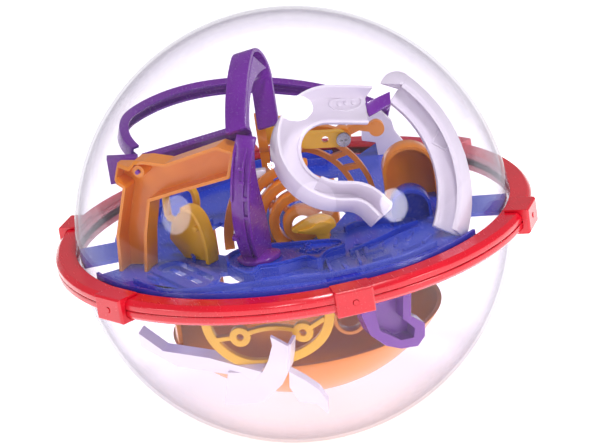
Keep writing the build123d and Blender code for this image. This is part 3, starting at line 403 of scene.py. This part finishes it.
class Bench:
    """Modelling steps shared by the sub-assemblies, each a few of Blender's operators."""

    def __init__(self, palette: Palette) -> None:
        """Keeps the palette that finished pieces are dressed from."""
        self.palette = palette

    @staticmethod
    def clear() -> None:
        """Leaves edit mode and deselects everything."""
        if bpy.context.object and bpy.context.object.mode != "OBJECT":
            bpy.ops.object.mode_set(mode="OBJECT")
        bpy.ops.object.select_all(action="DESELECT")

    def face(self, points: list[Vector]) -> bpy.types.Object:
        """Starts a piece as one face through these points, in millimetres, left selected in edit mode.

        Args:
            points: corners of the face, in order.

        Returns:
            The object, in edit mode.
        """
        self.clear()
        bpy.ops.mesh.primitive_circle_add(vertices=len(points), radius=MM, fill_type="NGON")
        piece = bpy.context.object
        for vertex, point in zip(piece.data.vertices, points):
            vertex.co = point * MM
        bpy.ops.object.mode_set(mode="EDIT")
        bpy.ops.mesh.select_all(action="SELECT")
        return piece

    def sweep(self, section: list[Point], start: Point, heading: float, runs: list[Run]) -> bpy.types.Object:
        """Carries a section along straights and arcs of the seat's plane.

        Args:
            section: corners as (across, out of the plane), in millimetres, across to the left of the heading.
            start: where the section starts.
            heading: direction of the first run, in degrees.
            runs: straights and arcs, in order.

        Returns:
            The object, back in object mode.
        """
        place = Vector((*start, 0.0))
        along = Vector((math.cos(math.radians(heading)), math.sin(math.radians(heading)), 0.0))
        left = Vector((-along.y, along.x, 0.0))
        piece = self.face([place + left * across + Vector((0, 0, out)) for across, out in section])
        for run in runs:
            if run.turn:
                side = math.copysign(1.0, run.turn)
                pivot = place + left * side * run.size
                bpy.ops.mesh.spin(
                    steps=max(4, int(abs(run.turn) / 5)),
                    angle=-math.radians(run.turn),
                    center=pivot * MM,
                    axis=(0, 0, 1),
                )
                turn = Matrix.Rotation(math.radians(run.turn), 3, "Z")
                place = pivot + turn @ (place - pivot)
                along = turn @ along
                left = turn @ left
            else:
                bpy.ops.mesh.extrude_region_move(TRANSFORM_OT_translate={"value": along * run.size * MM})
                place = place + along * run.size
        self.mend()
        return piece

    @staticmethod
    def end_of(start: Point, heading: float, runs: list[Run]) -> tuple[Point, float]:
        """Where a line of runs ends, and its heading there in degrees.

        Args:
            start: where the first run starts.
            heading: direction of the first run, in degrees.
            runs: straights and arcs, in order.

        Returns:
            The end's place and heading.
        """
        place = Vector((*start, 0.0))
        for run in runs:
            angle = math.radians(heading)
            if run.turn:
                side = math.copysign(1.0, run.turn)
                pivot = place + Vector((-math.sin(angle), math.cos(angle), 0.0)) * side * run.size
                place = pivot + Matrix.Rotation(math.radians(run.turn), 3, "Z") @ (place - pivot)
                heading += run.turn
            else:
                place = place + Vector((math.cos(angle), math.sin(angle), 0.0)) * run.size
        return (place.x, place.y), heading

    @staticmethod
    def mend() -> None:
        """Merges doubles, turns every face outwards and leaves edit mode."""
        bpy.ops.mesh.select_all(action="SELECT")
        bpy.ops.mesh.remove_doubles(threshold=MERGE)
        bpy.ops.mesh.normals_make_consistent(inside=False)
        bpy.ops.object.mode_set(mode="OBJECT")

    def slab(self, outline: list[Point], depth: float, hole: list[Point] | None = None) -> bpy.types.Object:
        """A flat piece of an outline.

        Args:
            outline: corners in the seat's plane, in millimetres.
            depth: thickness out of the plane, or into it if negative.
            hole: corners of an opening, cut by a second slab.

        Returns:
            The object, back in object mode.
        """
        piece = self.face([Vector((x, y, 0.0)) for x, y in outline])
        bpy.ops.mesh.extrude_region_move(TRANSFORM_OT_translate={"value": (0, 0, depth * MM)})
        self.mend()
        if hole:
            cutter = self.face([Vector((x, y, -abs(depth))) for x, y in hole])
            bpy.ops.mesh.extrude_region_move(TRANSFORM_OT_translate={"value": (0, 0, 3 * abs(depth) * MM)})
            self.mend()
            self.cut(piece, cutter)
        return piece

    @staticmethod
    def curve(points: list[Point], steps: int) -> list[Point]:
        """Smooth points through given ones, evenly divided between each two.

        Args:
            points: points that the curve passes through.
            steps: divisions between two points.

        Returns:
            The points of the curve.
        """
        ends = [points[0], *points, points[-1]]
        made: list[Point] = []
        for a, b, c, d in zip(ends, ends[1:], ends[2:], ends[3:]):
            for step in range(steps):
                t = step / steps
                made.append(tuple(
                    0.5 * (
                        2 * q + (r - p) * t
                        + (2 * p - 5 * q + 4 * r - s) * t**2
                        + (3 * q - p - 3 * r + s) * t**3
                    )
                    for p, q, r, s in zip(a, b, c, d)
                ))
        made.append(points[-1])
        return made

    def strap(self, line: list[Point], width: float, depth: float) -> bpy.types.Object:
        """A band of even width along a line of the seat's plane, extruded step by step."""
        made: list[Vector] = [Vector((x, y, 0.0)) for x, y in line]
        sides: list[Vector] = []
        for number, here in enumerate(made):
            before, after = made[max(number - 1, 0)], made[min(number + 1, len(made) - 1)]
            along = (after - before).normalized()
            sides.append(Vector((-along.y, along.x, 0.0)) * width / 2)
        one_side = [point + side for point, side in zip(made, sides)]
        other_side = [point - side for point, side in zip(made, sides)]
        piece = self.face(one_side + other_side[::-1])
        bpy.ops.mesh.extrude_region_move(TRANSFORM_OT_translate={"value": (0, 0, depth * MM)})
        self.mend()
        return piece

    def peg(self, radius: float, length: float, round_end: float = 0.35, sides: int = 20) -> bpy.types.Object:
        """A round peg out of the seat's plane, its free end rounded."""
        self.clear()
        bpy.ops.mesh.primitive_cylinder_add(
            vertices=sides, radius=radius * MM, depth=length * MM, location=(0, 0, length / 2 * MM)
        )
        piece = bpy.context.object
        bpy.ops.object.transform_apply(location=True, rotation=True, scale=True)
        bpy.ops.object.mode_set(mode="EDIT")
        bpy.ops.mesh.select_all(action="DESELECT")
        bpy.ops.object.mode_set(mode="OBJECT")
        for edge in piece.data.edges:
            edge.select = all(piece.data.vertices[v].co.z > (length - 0.001) * MM for v in edge.vertices)
        bpy.ops.object.mode_set(mode="EDIT")
        bpy.ops.mesh.bevel(offset=radius * round_end * MM, segments=3, affect="EDGES")
        self.mend()
        return piece

    def cut(self, piece: bpy.types.Object, cutter: bpy.types.Object) -> None:
        """Takes a cutter's shape out of a piece and removes the cutter."""
        self.clear()
        bpy.context.view_layer.objects.active = piece
        piece.select_set(True)
        boolean = piece.modifiers.new("cut", "BOOLEAN")
        boolean.operation = "DIFFERENCE"
        boolean.object = cutter
        bpy.ops.object.modifier_apply(modifier=boolean.name)
        bpy.data.objects.remove(cutter)

    def join(self, pieces: list[bpy.types.Object]) -> bpy.types.Object:
        """Joins pieces into the first of them."""
        self.clear()
        for piece in pieces:
            piece.select_set(True)
        bpy.context.view_layer.objects.active = pieces[0]
        bpy.ops.object.join()
        return bpy.context.object

    def move(self, piece: bpy.types.Object, matrix: Matrix) -> bpy.types.Object:
        """Puts a piece in place, with the place in its mesh."""
        self.clear()
        piece.select_set(True)
        bpy.context.view_layer.objects.active = piece
        piece.matrix_world = matrix @ piece.matrix_world
        bpy.ops.object.transform_apply(location=True, rotation=True, scale=True)
        return piece

    def at(
        self, piece: bpy.types.Object, x: float, y: float, z: float = 0.0, turn: float = 0.0
    ) -> bpy.types.Object:
        """Moves a piece within its seat, in millimetres, after a turn about its peg axis in degrees."""
        shift = Matrix.Translation(Vector((x, y, z)) * MM)
        return self.move(piece, shift @ Matrix.Rotation(math.radians(turn), 4, "Z"))

    def keep_within(self, piece: bpy.types.Object, radius: float) -> None:
        """Pulls in every point that stands out of the sphere that the tracks must stay inside."""
        for vertex in piece.data.vertices:
            if vertex.co.length > radius * MM:
                vertex.co = vertex.co.normalized() * radius * MM

    def soften(self, piece: bpy.types.Object, width: float) -> None:
        """Rounds a piece's edges with an applied bevel and shades it smooth."""
        self.clear()
        bpy.context.view_layer.objects.active = piece
        piece.select_set(True)
        if width:
            bevel = piece.modifiers.new("edges", "BEVEL")
            bevel.width = width * MM
            bevel.segments = EDGE_SEGMENTS
            bevel.limit_method = "ANGLE"
            bevel.angle_limit = math.radians(EDGE_ANGLE)
            bpy.ops.object.modifier_apply(modifier=bevel.name)
        bpy.ops.object.shade_smooth_by_angle(angle=math.radians(SMOOTH_ANGLE))

    def finish(
        self,
        piece: bpy.types.Object,
        seat: "Seat",
        name: str,
        slot: Slot,
        edge: float = 0.35,
        stands_for: tuple[str, ...] = (),
    ) -> bpy.types.Object:
        """Puts a piece on its seat, trims it to the sphere, softens it and hands it over.

        Args:
            piece: the finished mesh, modelled flat.
            seat: plane that it stands on.
            name: name of the piece.
            slot: its finish.
            edge: width of the rounded edges, in millimetres.
            stands_for: CAD nodes that it replaces.

        Returns:
            The piece.
        """
        self.move(piece, seat.matrix())
        self.keep_within(piece, REACH)
        self.soften(piece, edge)
        return self.hand_over(piece, name, slot, stands_for=stands_for)

    def hand_over(
        self,
        piece: bpy.types.Object,
        name: str,
        slot: Slot,
        body: str = "maze",
        stands_for: tuple[str, ...] = (),
    ) -> bpy.types.Object:
        """Names and dresses a finished piece and lets it ride on a body.

        Args:
            piece: the finished mesh.
            name: name of the piece.
            slot: its finish.
            body: the body that it rides on.
            stands_for: CAD nodes that it replaces.

        Returns:
            The piece.
        """
        piece.name = name
        piece.data.name = name
        self.palette.dress(piece, slot)
        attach(piece, body)
        if stands_for:
            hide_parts(*stands_for)
        log.info("%s: %d faces", name, len(piece.data.polygons))
        return piece


# ---- sub-assemblies -------------------------------------------------------


@dataclass
class FrameDressing:
    """The CAD nodes that stay: each gets its slot's finish, and all but the plain ones get softened edges."""

    edge: float = 0.3
    plain: tuple[str, ...] = ("upper_dome", "lower_dome", "steel_ball", "clip_pins")

    def dress(self, bench: Bench) -> None:
        """Dresses every CAD node, and rounds the edges of all but the plain ones with live modifiers."""
        slots = {part["node"]: Slot(part["material_slot"]) for part in frame["record"]["subparts"]}
        for name, node in frame["nodes"].items():
            bench.palette.dress(node, slots[name])
            if name in self.plain:
                continue
            weld = node.modifiers.new("weld", "WELD")
            weld.merge_threshold = MERGE
            bevel = node.modifiers.new("edges", "BEVEL")
            bevel.width = self.edge * MM
            bevel.segments = EDGE_SEGMENTS
            bevel.limit_method = "ANGLE"
            bevel.angle_limit = math.radians(EDGE_ANGLE)
            bevel.use_clamp_overlap = True
            bevel.harden_normals = True
            log.info("%s dressed", name)


def block(low: float, high: float, floor: float, top: float) -> list[Point]:
    """Corners of a rectangular section, across from low to high and out from floor to top."""
    return [(low, floor), (high, floor), (high, top), (low, top)]


def around(middle: Point, radius: float, angle: float) -> Point:
    """The point at a radius and an angle, in degrees, about a middle."""
    turn = math.radians(angle)
    return middle[0] + radius * math.cos(turn), middle[1] + radius * math.sin(turn)


def ring_of(radius: float, sides: int = 32, middle: Point = (0.0, 0.0)) -> list[Point]:
    """Corners of a regular polygon that stands for a circle."""
    return [around(middle, radius, 360 * step / sides) for step in range(sides)]


def rounded(corners: list[Point], steps: int = 4) -> list[Point]:
    """A closed outline that passes smoothly through these corners."""
    return Bench.curve([*corners, corners[0]], steps)[:-1]


def bar(length: float, width: float) -> list[Point]:
    """Corners of a rectangle about its seat's origin."""
    along, across = length / 2, width / 2
    return [(-along, -across), (along, -across), (along, across), (-along, across)]


@dataclass
class CurvedTrack:
    """The white track that curls in an S behind the front of the sphere."""

    seat: Seat = Seat((0.147, -0.791, 0.594), 73.0)
    width: float = 12.8
    wall: float = 1.4
    tall: float = 13.0
    lip: float = 2.6
    tail_inset: float = 4.0
    tail_floor: float = 0.6
    start: Point = (21.0, 17.7)
    heading: float = 164.0
    head: list[Run] = field(default_factory=lambda: [Run(17.5), Run(19.3, 150.0)])
    tail: list[Run] = field(default_factory=lambda: [Run(19.3, 30.0), Run(4.0), Run(15.0, -50.0), Run(5.0)])
    plate: list[Point] = field(default_factory=lambda: [
        (7.0, 25.8), (14.4, 25.2), (20.6, 23.3), (19.6, 20.2), (14.5, 19.2), (8.2, 20.9), (5.8, 23.6),
    ])
    plate_middle: Point = (13.0, 22.6)
    plate_opening: Point = (0.86, 0.8)
    plate_proud: float = 0.6
    studs: tuple[Point, ...] = ((10.2, 23.2), (13.2, 22.9), (16.4, 22.2))
    stud_radius: float = 1.0
    stud_proud: float = 0.5
    link: list[Point] = field(default_factory=lambda: [
        (21.0, 14.7), (32.1, 17.2), (33.9, 22.8), (21.0, 20.7),
    ])

    def build(self, bench: Bench) -> None:
        """Builds the channel, its tall inner wall at the tail, its link and the raised plate."""
        half, wall = self.width / 2, self.wall
        channel = [
            (-half, 0.0), (half, 0.0), (half, self.lip), (half - wall, self.lip),
            (half - wall, wall), (wall - half, wall), (wall - half, self.tall), (-half, self.tall),
        ]
        track = bench.sweep(channel, self.start, self.heading, self.head + self.tail)
        bench.finish(track, self.seat, "curved_track", Slot.WHITE, 0.45, ("s_track",))
        place, heading = bench.end_of(self.start, self.heading, self.head)
        inner = half - self.tail_inset
        section = block(inner - wall, inner, self.tail_floor, self.tall)
        tail_wall = bench.sweep(section, place, heading, self.tail)
        bench.finish(tail_wall, self.seat, "curved_track_tail_wall", Slot.WHITE, 0.4)
        bench.finish(bench.slab(self.link, wall), self.seat, "curved_track_link", Slot.PURPLE)
        self.build_plate(bench)

    def build_plate(self, bench: Bench) -> None:
        """Builds the raised oval frame on the top arm and the studs in it."""
        edge = rounded(self.plate)
        (left, low), (across, up) = self.plate_middle, self.plate_opening
        inside = [(left + across * (x - left), low + up * (y - low)) for x, y in edge]
        plate = bench.slab(edge, self.wall + self.plate_proud, inside)
        bench.finish(plate, self.seat, "curved_track_plate", Slot.WHITE, 0.15)
        length = self.wall + self.stud_proud
        studs = [bench.at(bench.peg(self.stud_radius, length, 0.3, 16), x, y) for x, y in self.studs]
        bench.finish(bench.join(studs), self.seat, "curved_track_studs", Slot.WHITE, 0.0)


@dataclass
class ArchTrack:
    """The white arched track at the right of the sphere."""

    seat: Seat = Seat((0.11, -0.865, 0.49), 66.0)
    inner: float = 45.3
    outer: float = 61.0
    tip: float = 53.5
    tip_out: float = 6.8
    tip_shift: float = 1.0
    lip: float = 2.6
    wall: float = 1.5
    first: float = -36.0
    sweep: float = 75.0
    rounding: float = 110.0
    pivot_gap: float = 0.05
    pivot_radius: float = 0.0001
    plate: Point = (52.6, 7.6)
    plate_radii: tuple[float, float] = (5.2, 4.0)
    plate_proud: float = 0.6

    def build(self, bench: Bench) -> None:
        """Builds the arch as a section spun about the seat's axis, with a rounded end."""
        wall, gap = self.wall, self.pivot_gap
        middle = (self.inner + self.outer) / 2
        flange = [
            (self.outer - middle, 0.0), (self.tip - middle + self.tip_shift, self.tip_out),
            (self.tip - middle - wall, self.tip_out), (self.outer - middle - 2 * wall, wall),
        ]
        inside = self.inner - middle
        section = [
            (inside, 0.0), *flange,
            (inside + wall, wall), (inside + wall, self.lip), (inside, self.lip),
        ]
        start = around((0.0, 0.0), middle, self.first)
        runs = [Run(middle, self.sweep)]
        arch = bench.sweep([(-a, z) for a, z in section], start, self.first + 90, runs)
        place, heading = bench.end_of(start, self.first + 90, runs)
        end = [(gap, 0.0), *[(max(a, gap), z) for a, z in flange], (gap, wall)]
        cap = bench.sweep([(-a, z) for a, z in end], place, heading, [Run(self.pivot_radius, self.rounding)])
        bench.finish(arch, self.seat, "arched_track", Slot.WHITE, 0.4, ("arch_track",))
        bench.finish(cap, self.seat, "arched_track_end", Slot.WHITE, 0.3)
        outside, opening = [ring_of(radius, 4, self.plate) for radius in self.plate_radii]
        plate = bench.slab(outside, wall + self.plate_proud, opening)
        bench.finish(plate, self.seat, "arched_track_plate", Slot.WHITE, 0.15)


@dataclass(frozen=True)
class FunnelRing:
    """One open ring of the funnel: middle radius, width, first angle, sweep and offset of its seat."""

    radius: float
    width: float
    first: float
    sweep: float
    offset: float


@dataclass
class SteppedFunnel:
    """The orange funnel of stepped, partly open rings in the middle of the sphere."""

    middle: Point = (3.6, 11.9)
    tube: tuple[float, float] = (4.1, 8.0)
    tube_seat: float = 30.0
    tube_depth: float = 7.0
    rings: tuple[FunnelRing, ...] = (
        FunnelRing(11.6, 4.2, 5.0, 255.0, 27.0),
        FunnelRing(17.2, 4.4, 50.0, 190.0, 24.0),
        FunnelRing(22.8, 4.4, 75.0, 145.0, 21.0),
    )
    ring_depth: float = 7.0
    ring_taper: float = 1.2
    strut_shares: tuple[float, ...] = (0.08, 0.5, 0.94)
    strut_size: Point = (3.8, 2.2)
    strut_inset: float = 1.2
    strut_drop: float = 2.0
    post: list[Point] = field(default_factory=lambda: [(9.4, 4.0), (15.2, 4.0), (13.0, 10.0), (10.2, 11.0)])
    post_depth: float = 3.0
    post_ahead: float = 1.0

    def build(self, bench: Bench) -> None:
        """Builds the tube, the rings round it and the post under it."""
        bore, outside = self.tube
        tube = bench.slab(ring_of(outside, 48, self.middle), self.tube_depth, ring_of(bore, 40, self.middle))
        bench.finish(tube, Seat(FRONT, self.tube_seat), "funnel_tube", Slot.ORANGE, 0.9, ("spiral",))
        for number, ring in enumerate(self.rings, start=1):
            self.build_ring(bench, number, ring)
        post = bench.slab(self.post, self.post_depth)
        bench.finish(post, Seat(FRONT, self.tube_seat + self.post_ahead), "funnel_post", Slot.ORANGE, 0.4)

    def build_ring(self, bench: Bench, number: int, ring: FunnelRing) -> None:
        """Builds one open ring, its front tapered, and the three struts inside it."""
        seat, half = Seat(FRONT, ring.offset), ring.width / 2
        low, high = self.ring_depth - self.ring_taper, self.ring_depth
        section = [(-half, 0.0), (half, 0.0), (half, low), (-half, high)]
        start = around(self.middle, ring.radius, ring.first)
        piece = bench.sweep(section, start, ring.first + 90, [Run(ring.radius, ring.sweep)])
        bench.finish(piece, seat, f"funnel_ring_{number}", Slot.ORANGE, 0.6)
        struts = []
        for share in self.strut_shares:
            turn = ring.first + ring.sweep * share
            x, y = around(self.middle, ring.radius - half - self.strut_inset, turn)
            strut = bench.slab(bar(*self.strut_size), self.ring_depth - self.strut_drop)
            struts.append(bench.at(strut, x, y, 0.0, turn))
        bench.finish(bench.join(struts), seat, f"funnel_struts_{number}", Slot.ORANGE, 0.3)


@dataclass
class LeafScoop:
    """The yellow leaf-shaped scoop in front of the funnel."""

    seat: Seat = Seat(FRONT, 40.5)
    outline: list[Point] = field(default_factory=lambda: [
        (-1.2, 13.0), (3.0, 15.3), (8.0, 17.0), (12.6, 17.2), (16.6, 15.0), (17.6, 12.2), (15.2, 10.6),
        (13.9, 9.2), (8.6, 9.6), (3.6, 10.8), (0.0, 11.8),
    ])
    ridge: list[Point] = field(default_factory=lambda: [
        (1.4, 12.6), (6.4, 13.2), (11.0, 15.2), (15.8, 14.0), (12.4, 12.2), (7.0, 11.2),
    ])
    stem: list[Point] = field(default_factory=lambda: [
        (8.0, 10.6), (14.2, 10.2), (14.4, 4.0), (11.2, 4.0), (9.4, 6.6),
    ])
    leaf_depth: float = 4.4
    fold_depth: float = 5.6
    stem_depth: float = 3.6

    def build(self, bench: Bench) -> None:
        """Builds the leaf, the raised fold along it and its stem."""
        leaf = bench.slab(rounded(self.outline), self.leaf_depth)
        bench.finish(leaf, self.seat, "scoop_leaf", Slot.YELLOW, 1.3, ("scoop",))
        fold = bench.slab(rounded(self.ridge), self.fold_depth)
        bench.finish(fold, self.seat, "scoop_fold", Slot.YELLOW, 0.9)
        stem = bench.slab(self.stem, self.stem_depth)
        bench.finish(stem, self.seat, "scoop_stem", Slot.YELLOW, 0.7)


@dataclass
class YellowQuadrant:
    """The yellow sector with a rim band, and the rounded frame behind it."""

    seat: Seat = Seat((-0.8, -0.6, 0.0), 53.0)
    plate: list[Point] = field(default_factory=lambda: [
        (-13.0, 4.0), (-20.4, 12.0), (-18.0, 19.0), (-13.3, 24.0), (-5.0, 28.2), (-0.4, 25.3), (1.6, 20.6),
        (3.2, 11.8), (2.7, 4.0),
    ])
    plate_depth: float = 3.2
    rim: list[Point] = field(default_factory=lambda: [
        (-8.5, 27.4), (-4.4, 27.4), (-0.9, 25.0), (1.2, 20.6), (2.8, 11.8), (2.4, 4.0),
    ])
    rim_size: Point = (2.0, 6.5)
    nub: Point = (-0.6, 20.0)
    nub_size: Point = (1.3, 8.0)
    nub_round: float = 0.4
    frame: list[Point] = field(default_factory=lambda: [
        (-28.5, 17.5), (-26.5, 30.0), (-11.5, 31.5), (-13.5, 18.0),
    ])
    frame_size: Point = (2.2, 3.0)
    frame_behind: float = 8.0
    curve_steps: int = 5

    def build(self, bench: Bench) -> None:
        """Builds the plate, its rim band with a nub, and the frame."""
        plate = bench.slab(self.plate, self.plate_depth)
        bench.finish(plate, self.seat, "quadrant_plate", Slot.YELLOW, 0.4, ("quadrant",))
        rim = bench.strap(bench.curve(self.rim, self.curve_steps), *self.rim_size)
        bench.finish(rim, self.seat, "quadrant_rim", Slot.YELLOW, 0.45)
        nub = bench.at(bench.peg(*self.nub_size, self.nub_round), *self.nub)
        bench.finish(nub, self.seat, "quadrant_nub", Slot.YELLOW, 0.0)
        line = bench.curve([*self.frame, self.frame[0], self.frame[1]], self.curve_steps)
        frame_piece = bench.strap(line[:-self.curve_steps], *self.frame_size)
        behind = Seat(self.seat.normal, self.seat.offset - self.frame_behind)
        bench.finish(frame_piece, behind, "quadrant_frame", Slot.YELLOW, 0.5)


@dataclass
class CTrackDetails:
    """Ribs, nubs and the flared foot on the purple C track, and the white stub beside it."""

    seat: Seat = Seat((0.814, -0.566, -0.131), 1.5)
    middle: Point = (-26.4, 39.1)
    radius: float = 46.0
    rib_first: float = 150.0
    rib_width: float = 0.9
    rib_root: float = 0.2
    rib_beyond: float = 0.8
    # each rib: floor, height, sweep
    ribs: tuple[Triple, ...] = ((4.9, 1.1, 66.0), (7.6, 1.3, 68.0), (0.0, 0.8, 30.0))
    # each nub: angle, floor, width
    nubs: tuple[Triple, ...] = (
        (202.0, -0.9, 2.2), (170.0, 3.6, 1.6), (163.0, 3.2, 1.6), (178.0, 5.6, 1.8), (188.0, 5.6, 1.4),
    )
    nub_length: float = 2.8
    nub_depth: float = 2.6
    nub_beyond: float = 0.6
    foot: list[Point] = field(default_factory=lambda: [
        (-36.2, -54.0), (-31.0, -49.0), (-22.0, -49.5), (-17.6, -54.5), (-19.6, -59.8), (-26.4, -63.6),
        (-33.4, -61.6),
    ])
    foot_height: float = 2.4
    stub: Point = (-24.0, 33.0)
    stub_offset: float = -19.0
    stub_size: Point = (2.6, 11.0)

    def build(self, bench: Bench) -> None:
        """Builds the ribs along the band, the nubs on it, the foot and the stub."""
        for number, (floor, proud, sweep) in enumerate(self.ribs, start=1):
            radius = self.radius + self.rib_beyond
            start = around(self.middle, radius, self.rib_first)
            section = block(-proud, self.rib_root, floor, floor + self.rib_width)
            rib = bench.sweep(section, start, self.rib_first + 90, [Run(radius, sweep)])
            bench.finish(rib, self.seat, f"c_track_rib_{number}", Slot.PURPLE, 0.2)
        nubs = []
        for angle, floor, width in self.nubs:
            nub = bench.slab(bar(self.nub_length, width), self.nub_depth)
            x, y = around(self.middle, self.radius + self.nub_beyond, angle)
            nubs.append(bench.at(nub, x, y, floor, angle))
        bench.finish(bench.join(nubs), self.seat, "c_track_nubs", Slot.PURPLE, 0.3)
        foot = bench.slab(rounded(self.foot), self.foot_height)
        bench.finish(foot, Seat(UPWARDS, PLATFORM_TOP), "c_track_foot", Slot.PURPLE, 0.8)
        stub = bench.at(bench.peg(*self.stub_size, 0.2, 28), *self.stub)
        bench.finish(stub, Seat(SIDEWAYS, self.stub_offset), "white_stub", Slot.WHITE, 0.0)


@dataclass
class DeckDetails:
    """Low walls, ribs and sockets on the blue deck and its platform."""

    platform: list[Point] = field(default_factory=lambda: [
        (-40.0, -55.0), (-38.6, -46.8), (-32.8, -41.6), (-25.0, -41.6), (-16.6, -44.6), (-8.6, -48.1),
        (2.0, -52.6), (8.0, -56.6), (7.1, -62.6), (1.8, -64.0), (-2.2, -66.8), (-4.9, -72.4),
        (-6.0, -72.0), (-9.0, -65.6),
        (-16.0, -66.4), (-22.0, -67.4), (-29.4, -65.4), (-33.2, -70.6), (-36.4, -69.0), (-38.5, -62.6),
    ])
    rim_size: Point = (1.4, 1.4)
    walls: list[list[Point]] = field(default_factory=lambda: [
        [(9.6, -63.1), (17.0, -59.6), (25.7, -55.2), (35.2, -49.3), (44.0, -46.6)],
        [
            (-78.0, -39.5), (-69.0, -60.6), (-52.0, -69.0), (-32.3, -76.0), (-4.7, -84.4), (25.5, -82.8),
            (44.0, -75.0),
        ],
        [(14.9, -34.7), (22.4, -31.5), (36.0, -36.0)],
        [(-50.1, -30.8), (-49.0, -17.0), (-43.6, -4.3), (-33.0, 13.0)],
        [(-3.0, -82.0), (-1.5, -68.0)],
        [(10.0, -80.0), (12.0, -66.0)],
        [(48.9, -44.8), (54.0, -53.0), (57.0, -62.1)],
    ])
    wall_size: Point = (1.3, 2.6)
    curve_steps: int = 5
    # each rib: x, y, turn
    ribs: list[Triple] = field(default_factory=lambda: [
        (16.3, -64.0, 80.0), (22.6, -64.0, 60.0), (30.0, -62.0, 70.0), (37.0, -58.0, 60.0),
        (42.5, -66.0, 50.0), (27.0, -76.0, 75.0), (4.0, -78.0, 90.0), (-50.0, -63.0, 40.0),
        (-70.0, -40.0, 110.0),
    ])
    rib_size: Point = (8.0, 1.8)
    rib_height: float = 1.6
    sockets: list[Point] = field(default_factory=lambda: [
        (-8.3, -55.9), (-6.3, -60.0), (-3.5, -60.7), (-0.6, -61.3), (5.0, -60.6), (-5.3, -52.5),
    ])
    socket_radii: Point = (1.7, 0.9)
    socket_height: float = 0.9

    def build(self, bench: Bench) -> None:
        """Builds the platform's rim, the walls, the ribs and the sockets."""
        deck, platform = Seat(UPWARDS, DECK_TOP - SINK), Seat(UPWARDS, PLATFORM_TOP)
        rim = bench.strap(rounded(self.platform, 3), *self.rim_size)
        bench.finish(rim, platform, "platform_rim", Slot.BLUE, 0.3)
        for number, line in enumerate(self.walls, start=1):
            wall = bench.strap(bench.curve(line, self.curve_steps), *self.wall_size)
            bench.finish(wall, deck, f"deck_wall_{number}", Slot.BLUE, 0.3)
        ribs = []
        for x, y, turn in self.ribs:
            ribs.append(bench.at(bench.slab(bar(*self.rib_size), self.rib_height), x, y, 0.0, turn))
        bench.finish(bench.join(ribs), deck, "deck_ribs", Slot.BLUE, 0.3)
        outside, bore = self.socket_radii
        sockets = []
        for x, y in self.sockets:
            socket = bench.slab(ring_of(outside, 20), self.socket_height, ring_of(bore, 16))
            sockets.append(bench.at(socket, x, y))
        bench.finish(bench.join(sockets), platform, "platform_sockets", Slot.BLUE, 0.15)


# ---- studio ---------------------------------------------------------------


@dataclass
class Studio:
    """Floor, lights and camera. Sizes in metres."""

    eye: Triple = (-0.223743, -1.172891, 0.420687)
    right: Triple = (0.961119, -0.235223, -0.144638)
    up: Triple = (0.212168, 0.293818, 0.932017)
    back: Triple = (-0.176735, -0.926467, 0.332301)
    lens: float = 176.4
    sensor: float = 36.0
    shift: tuple[float, float] = (0.0061, 0.0020)
    clip: float = 0.05
    floor_level: float = -0.0955
    floor_size: float = 30.0
    room_colour: tuple[float, float, float, float] = (0.97, 0.97, 1.0, 1.0)
    room_glow: float = 0.3
    # each lamp: name, place, diameter, watts
    lamps: tuple[tuple[str, Triple, float, float], ...] = (
        ("key_softbox", (0.198, -0.336, 1.635), 0.42, 15.0),
        ("strip_softbox", (-0.38, -1.019, 1.295), 0.1, 2.0),
        ("window_softbox", (-1.535, -0.357, 0.585), 0.5, 4.5),
        ("front_softbox", (0.1, -1.7, 0.9), 0.7, 4.0),
        ("fill_softbox", (1.073, -1.11, 0.357), 0.42, 5.5),
    )

    def build(self) -> None:
        """Builds the room round the object."""
        Bench.clear()
        bpy.ops.mesh.primitive_plane_add(size=self.floor_size, location=(0, 0, 0))
        floor = bpy.context.object
        for vertex in floor.data.vertices:
            vertex.co.z = self.floor_level
        floor.name = "studio_floor"
        floor.data.materials.append(StudioPaper("paper_white").material())
        for lamp in self.lamps:
            self.light(*lamp)
        world = bpy.data.worlds.new("soft_room")
        bpy.context.scene.world = world
        world.use_nodes = True
        background = world.node_tree.nodes["Background"]
        background.inputs[0].default_value = self.room_colour
        background.inputs[1].default_value = self.room_glow
        lens = bpy.data.cameras.new("camera")
        camera = bpy.data.objects.new("camera", lens)
        bpy.context.scene.collection.objects.link(camera)
        lens.lens = self.lens
        lens.sensor_width = self.sensor
        lens.shift_x, lens.shift_y = self.shift
        lens.clip_start = self.clip
        turned = Matrix((self.right, self.up, self.back)).transposed().to_4x4()
        camera.matrix_world = Matrix.Translation(self.eye) @ turned
        bpy.context.scene.camera = camera
        bpy.context.scene.view_settings.view_transform = "Standard"

    @staticmethod
    def light(name: str, place: Triple, size: float, power: float) -> None:
        """Adds one soft light that faces the object.

        Args:
            name: name of the light.
            place: its place.
            size: diameter of its disc.
            power: in watts.
        """
        data = bpy.data.lights.new(name, "AREA")
        data.shape = "DISK"
        data.size = size
        data.energy = power
        lamp = bpy.data.objects.new(name, data)
        turned = Vector(place).to_track_quat("Z", "Y").to_matrix().to_4x4()
        lamp.matrix_world = Matrix.Translation(place) @ turned
        bpy.context.scene.collection.objects.link(lamp)


def main() -> None:
    """Builds the maze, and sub-assembly by sub-assembly."""
    logging.basicConfig(level=logging.INFO, format="%(name)s: %(message)s")
    palette = Palette()
    bench = Bench(palette)
    FrameDressing().dress(bench)
    parts = (
        CurvedTrack(), ArchTrack(), SteppedFunnel(), LeafScoop(), YellowQuadrant(), CTrackDetails(),
        DeckDetails(),
    )
    for part in parts:
        log.info("building %s", type(part).__name__)
        part.build(bench)
    Studio().build()


if __name__ == "__main__":
    main()
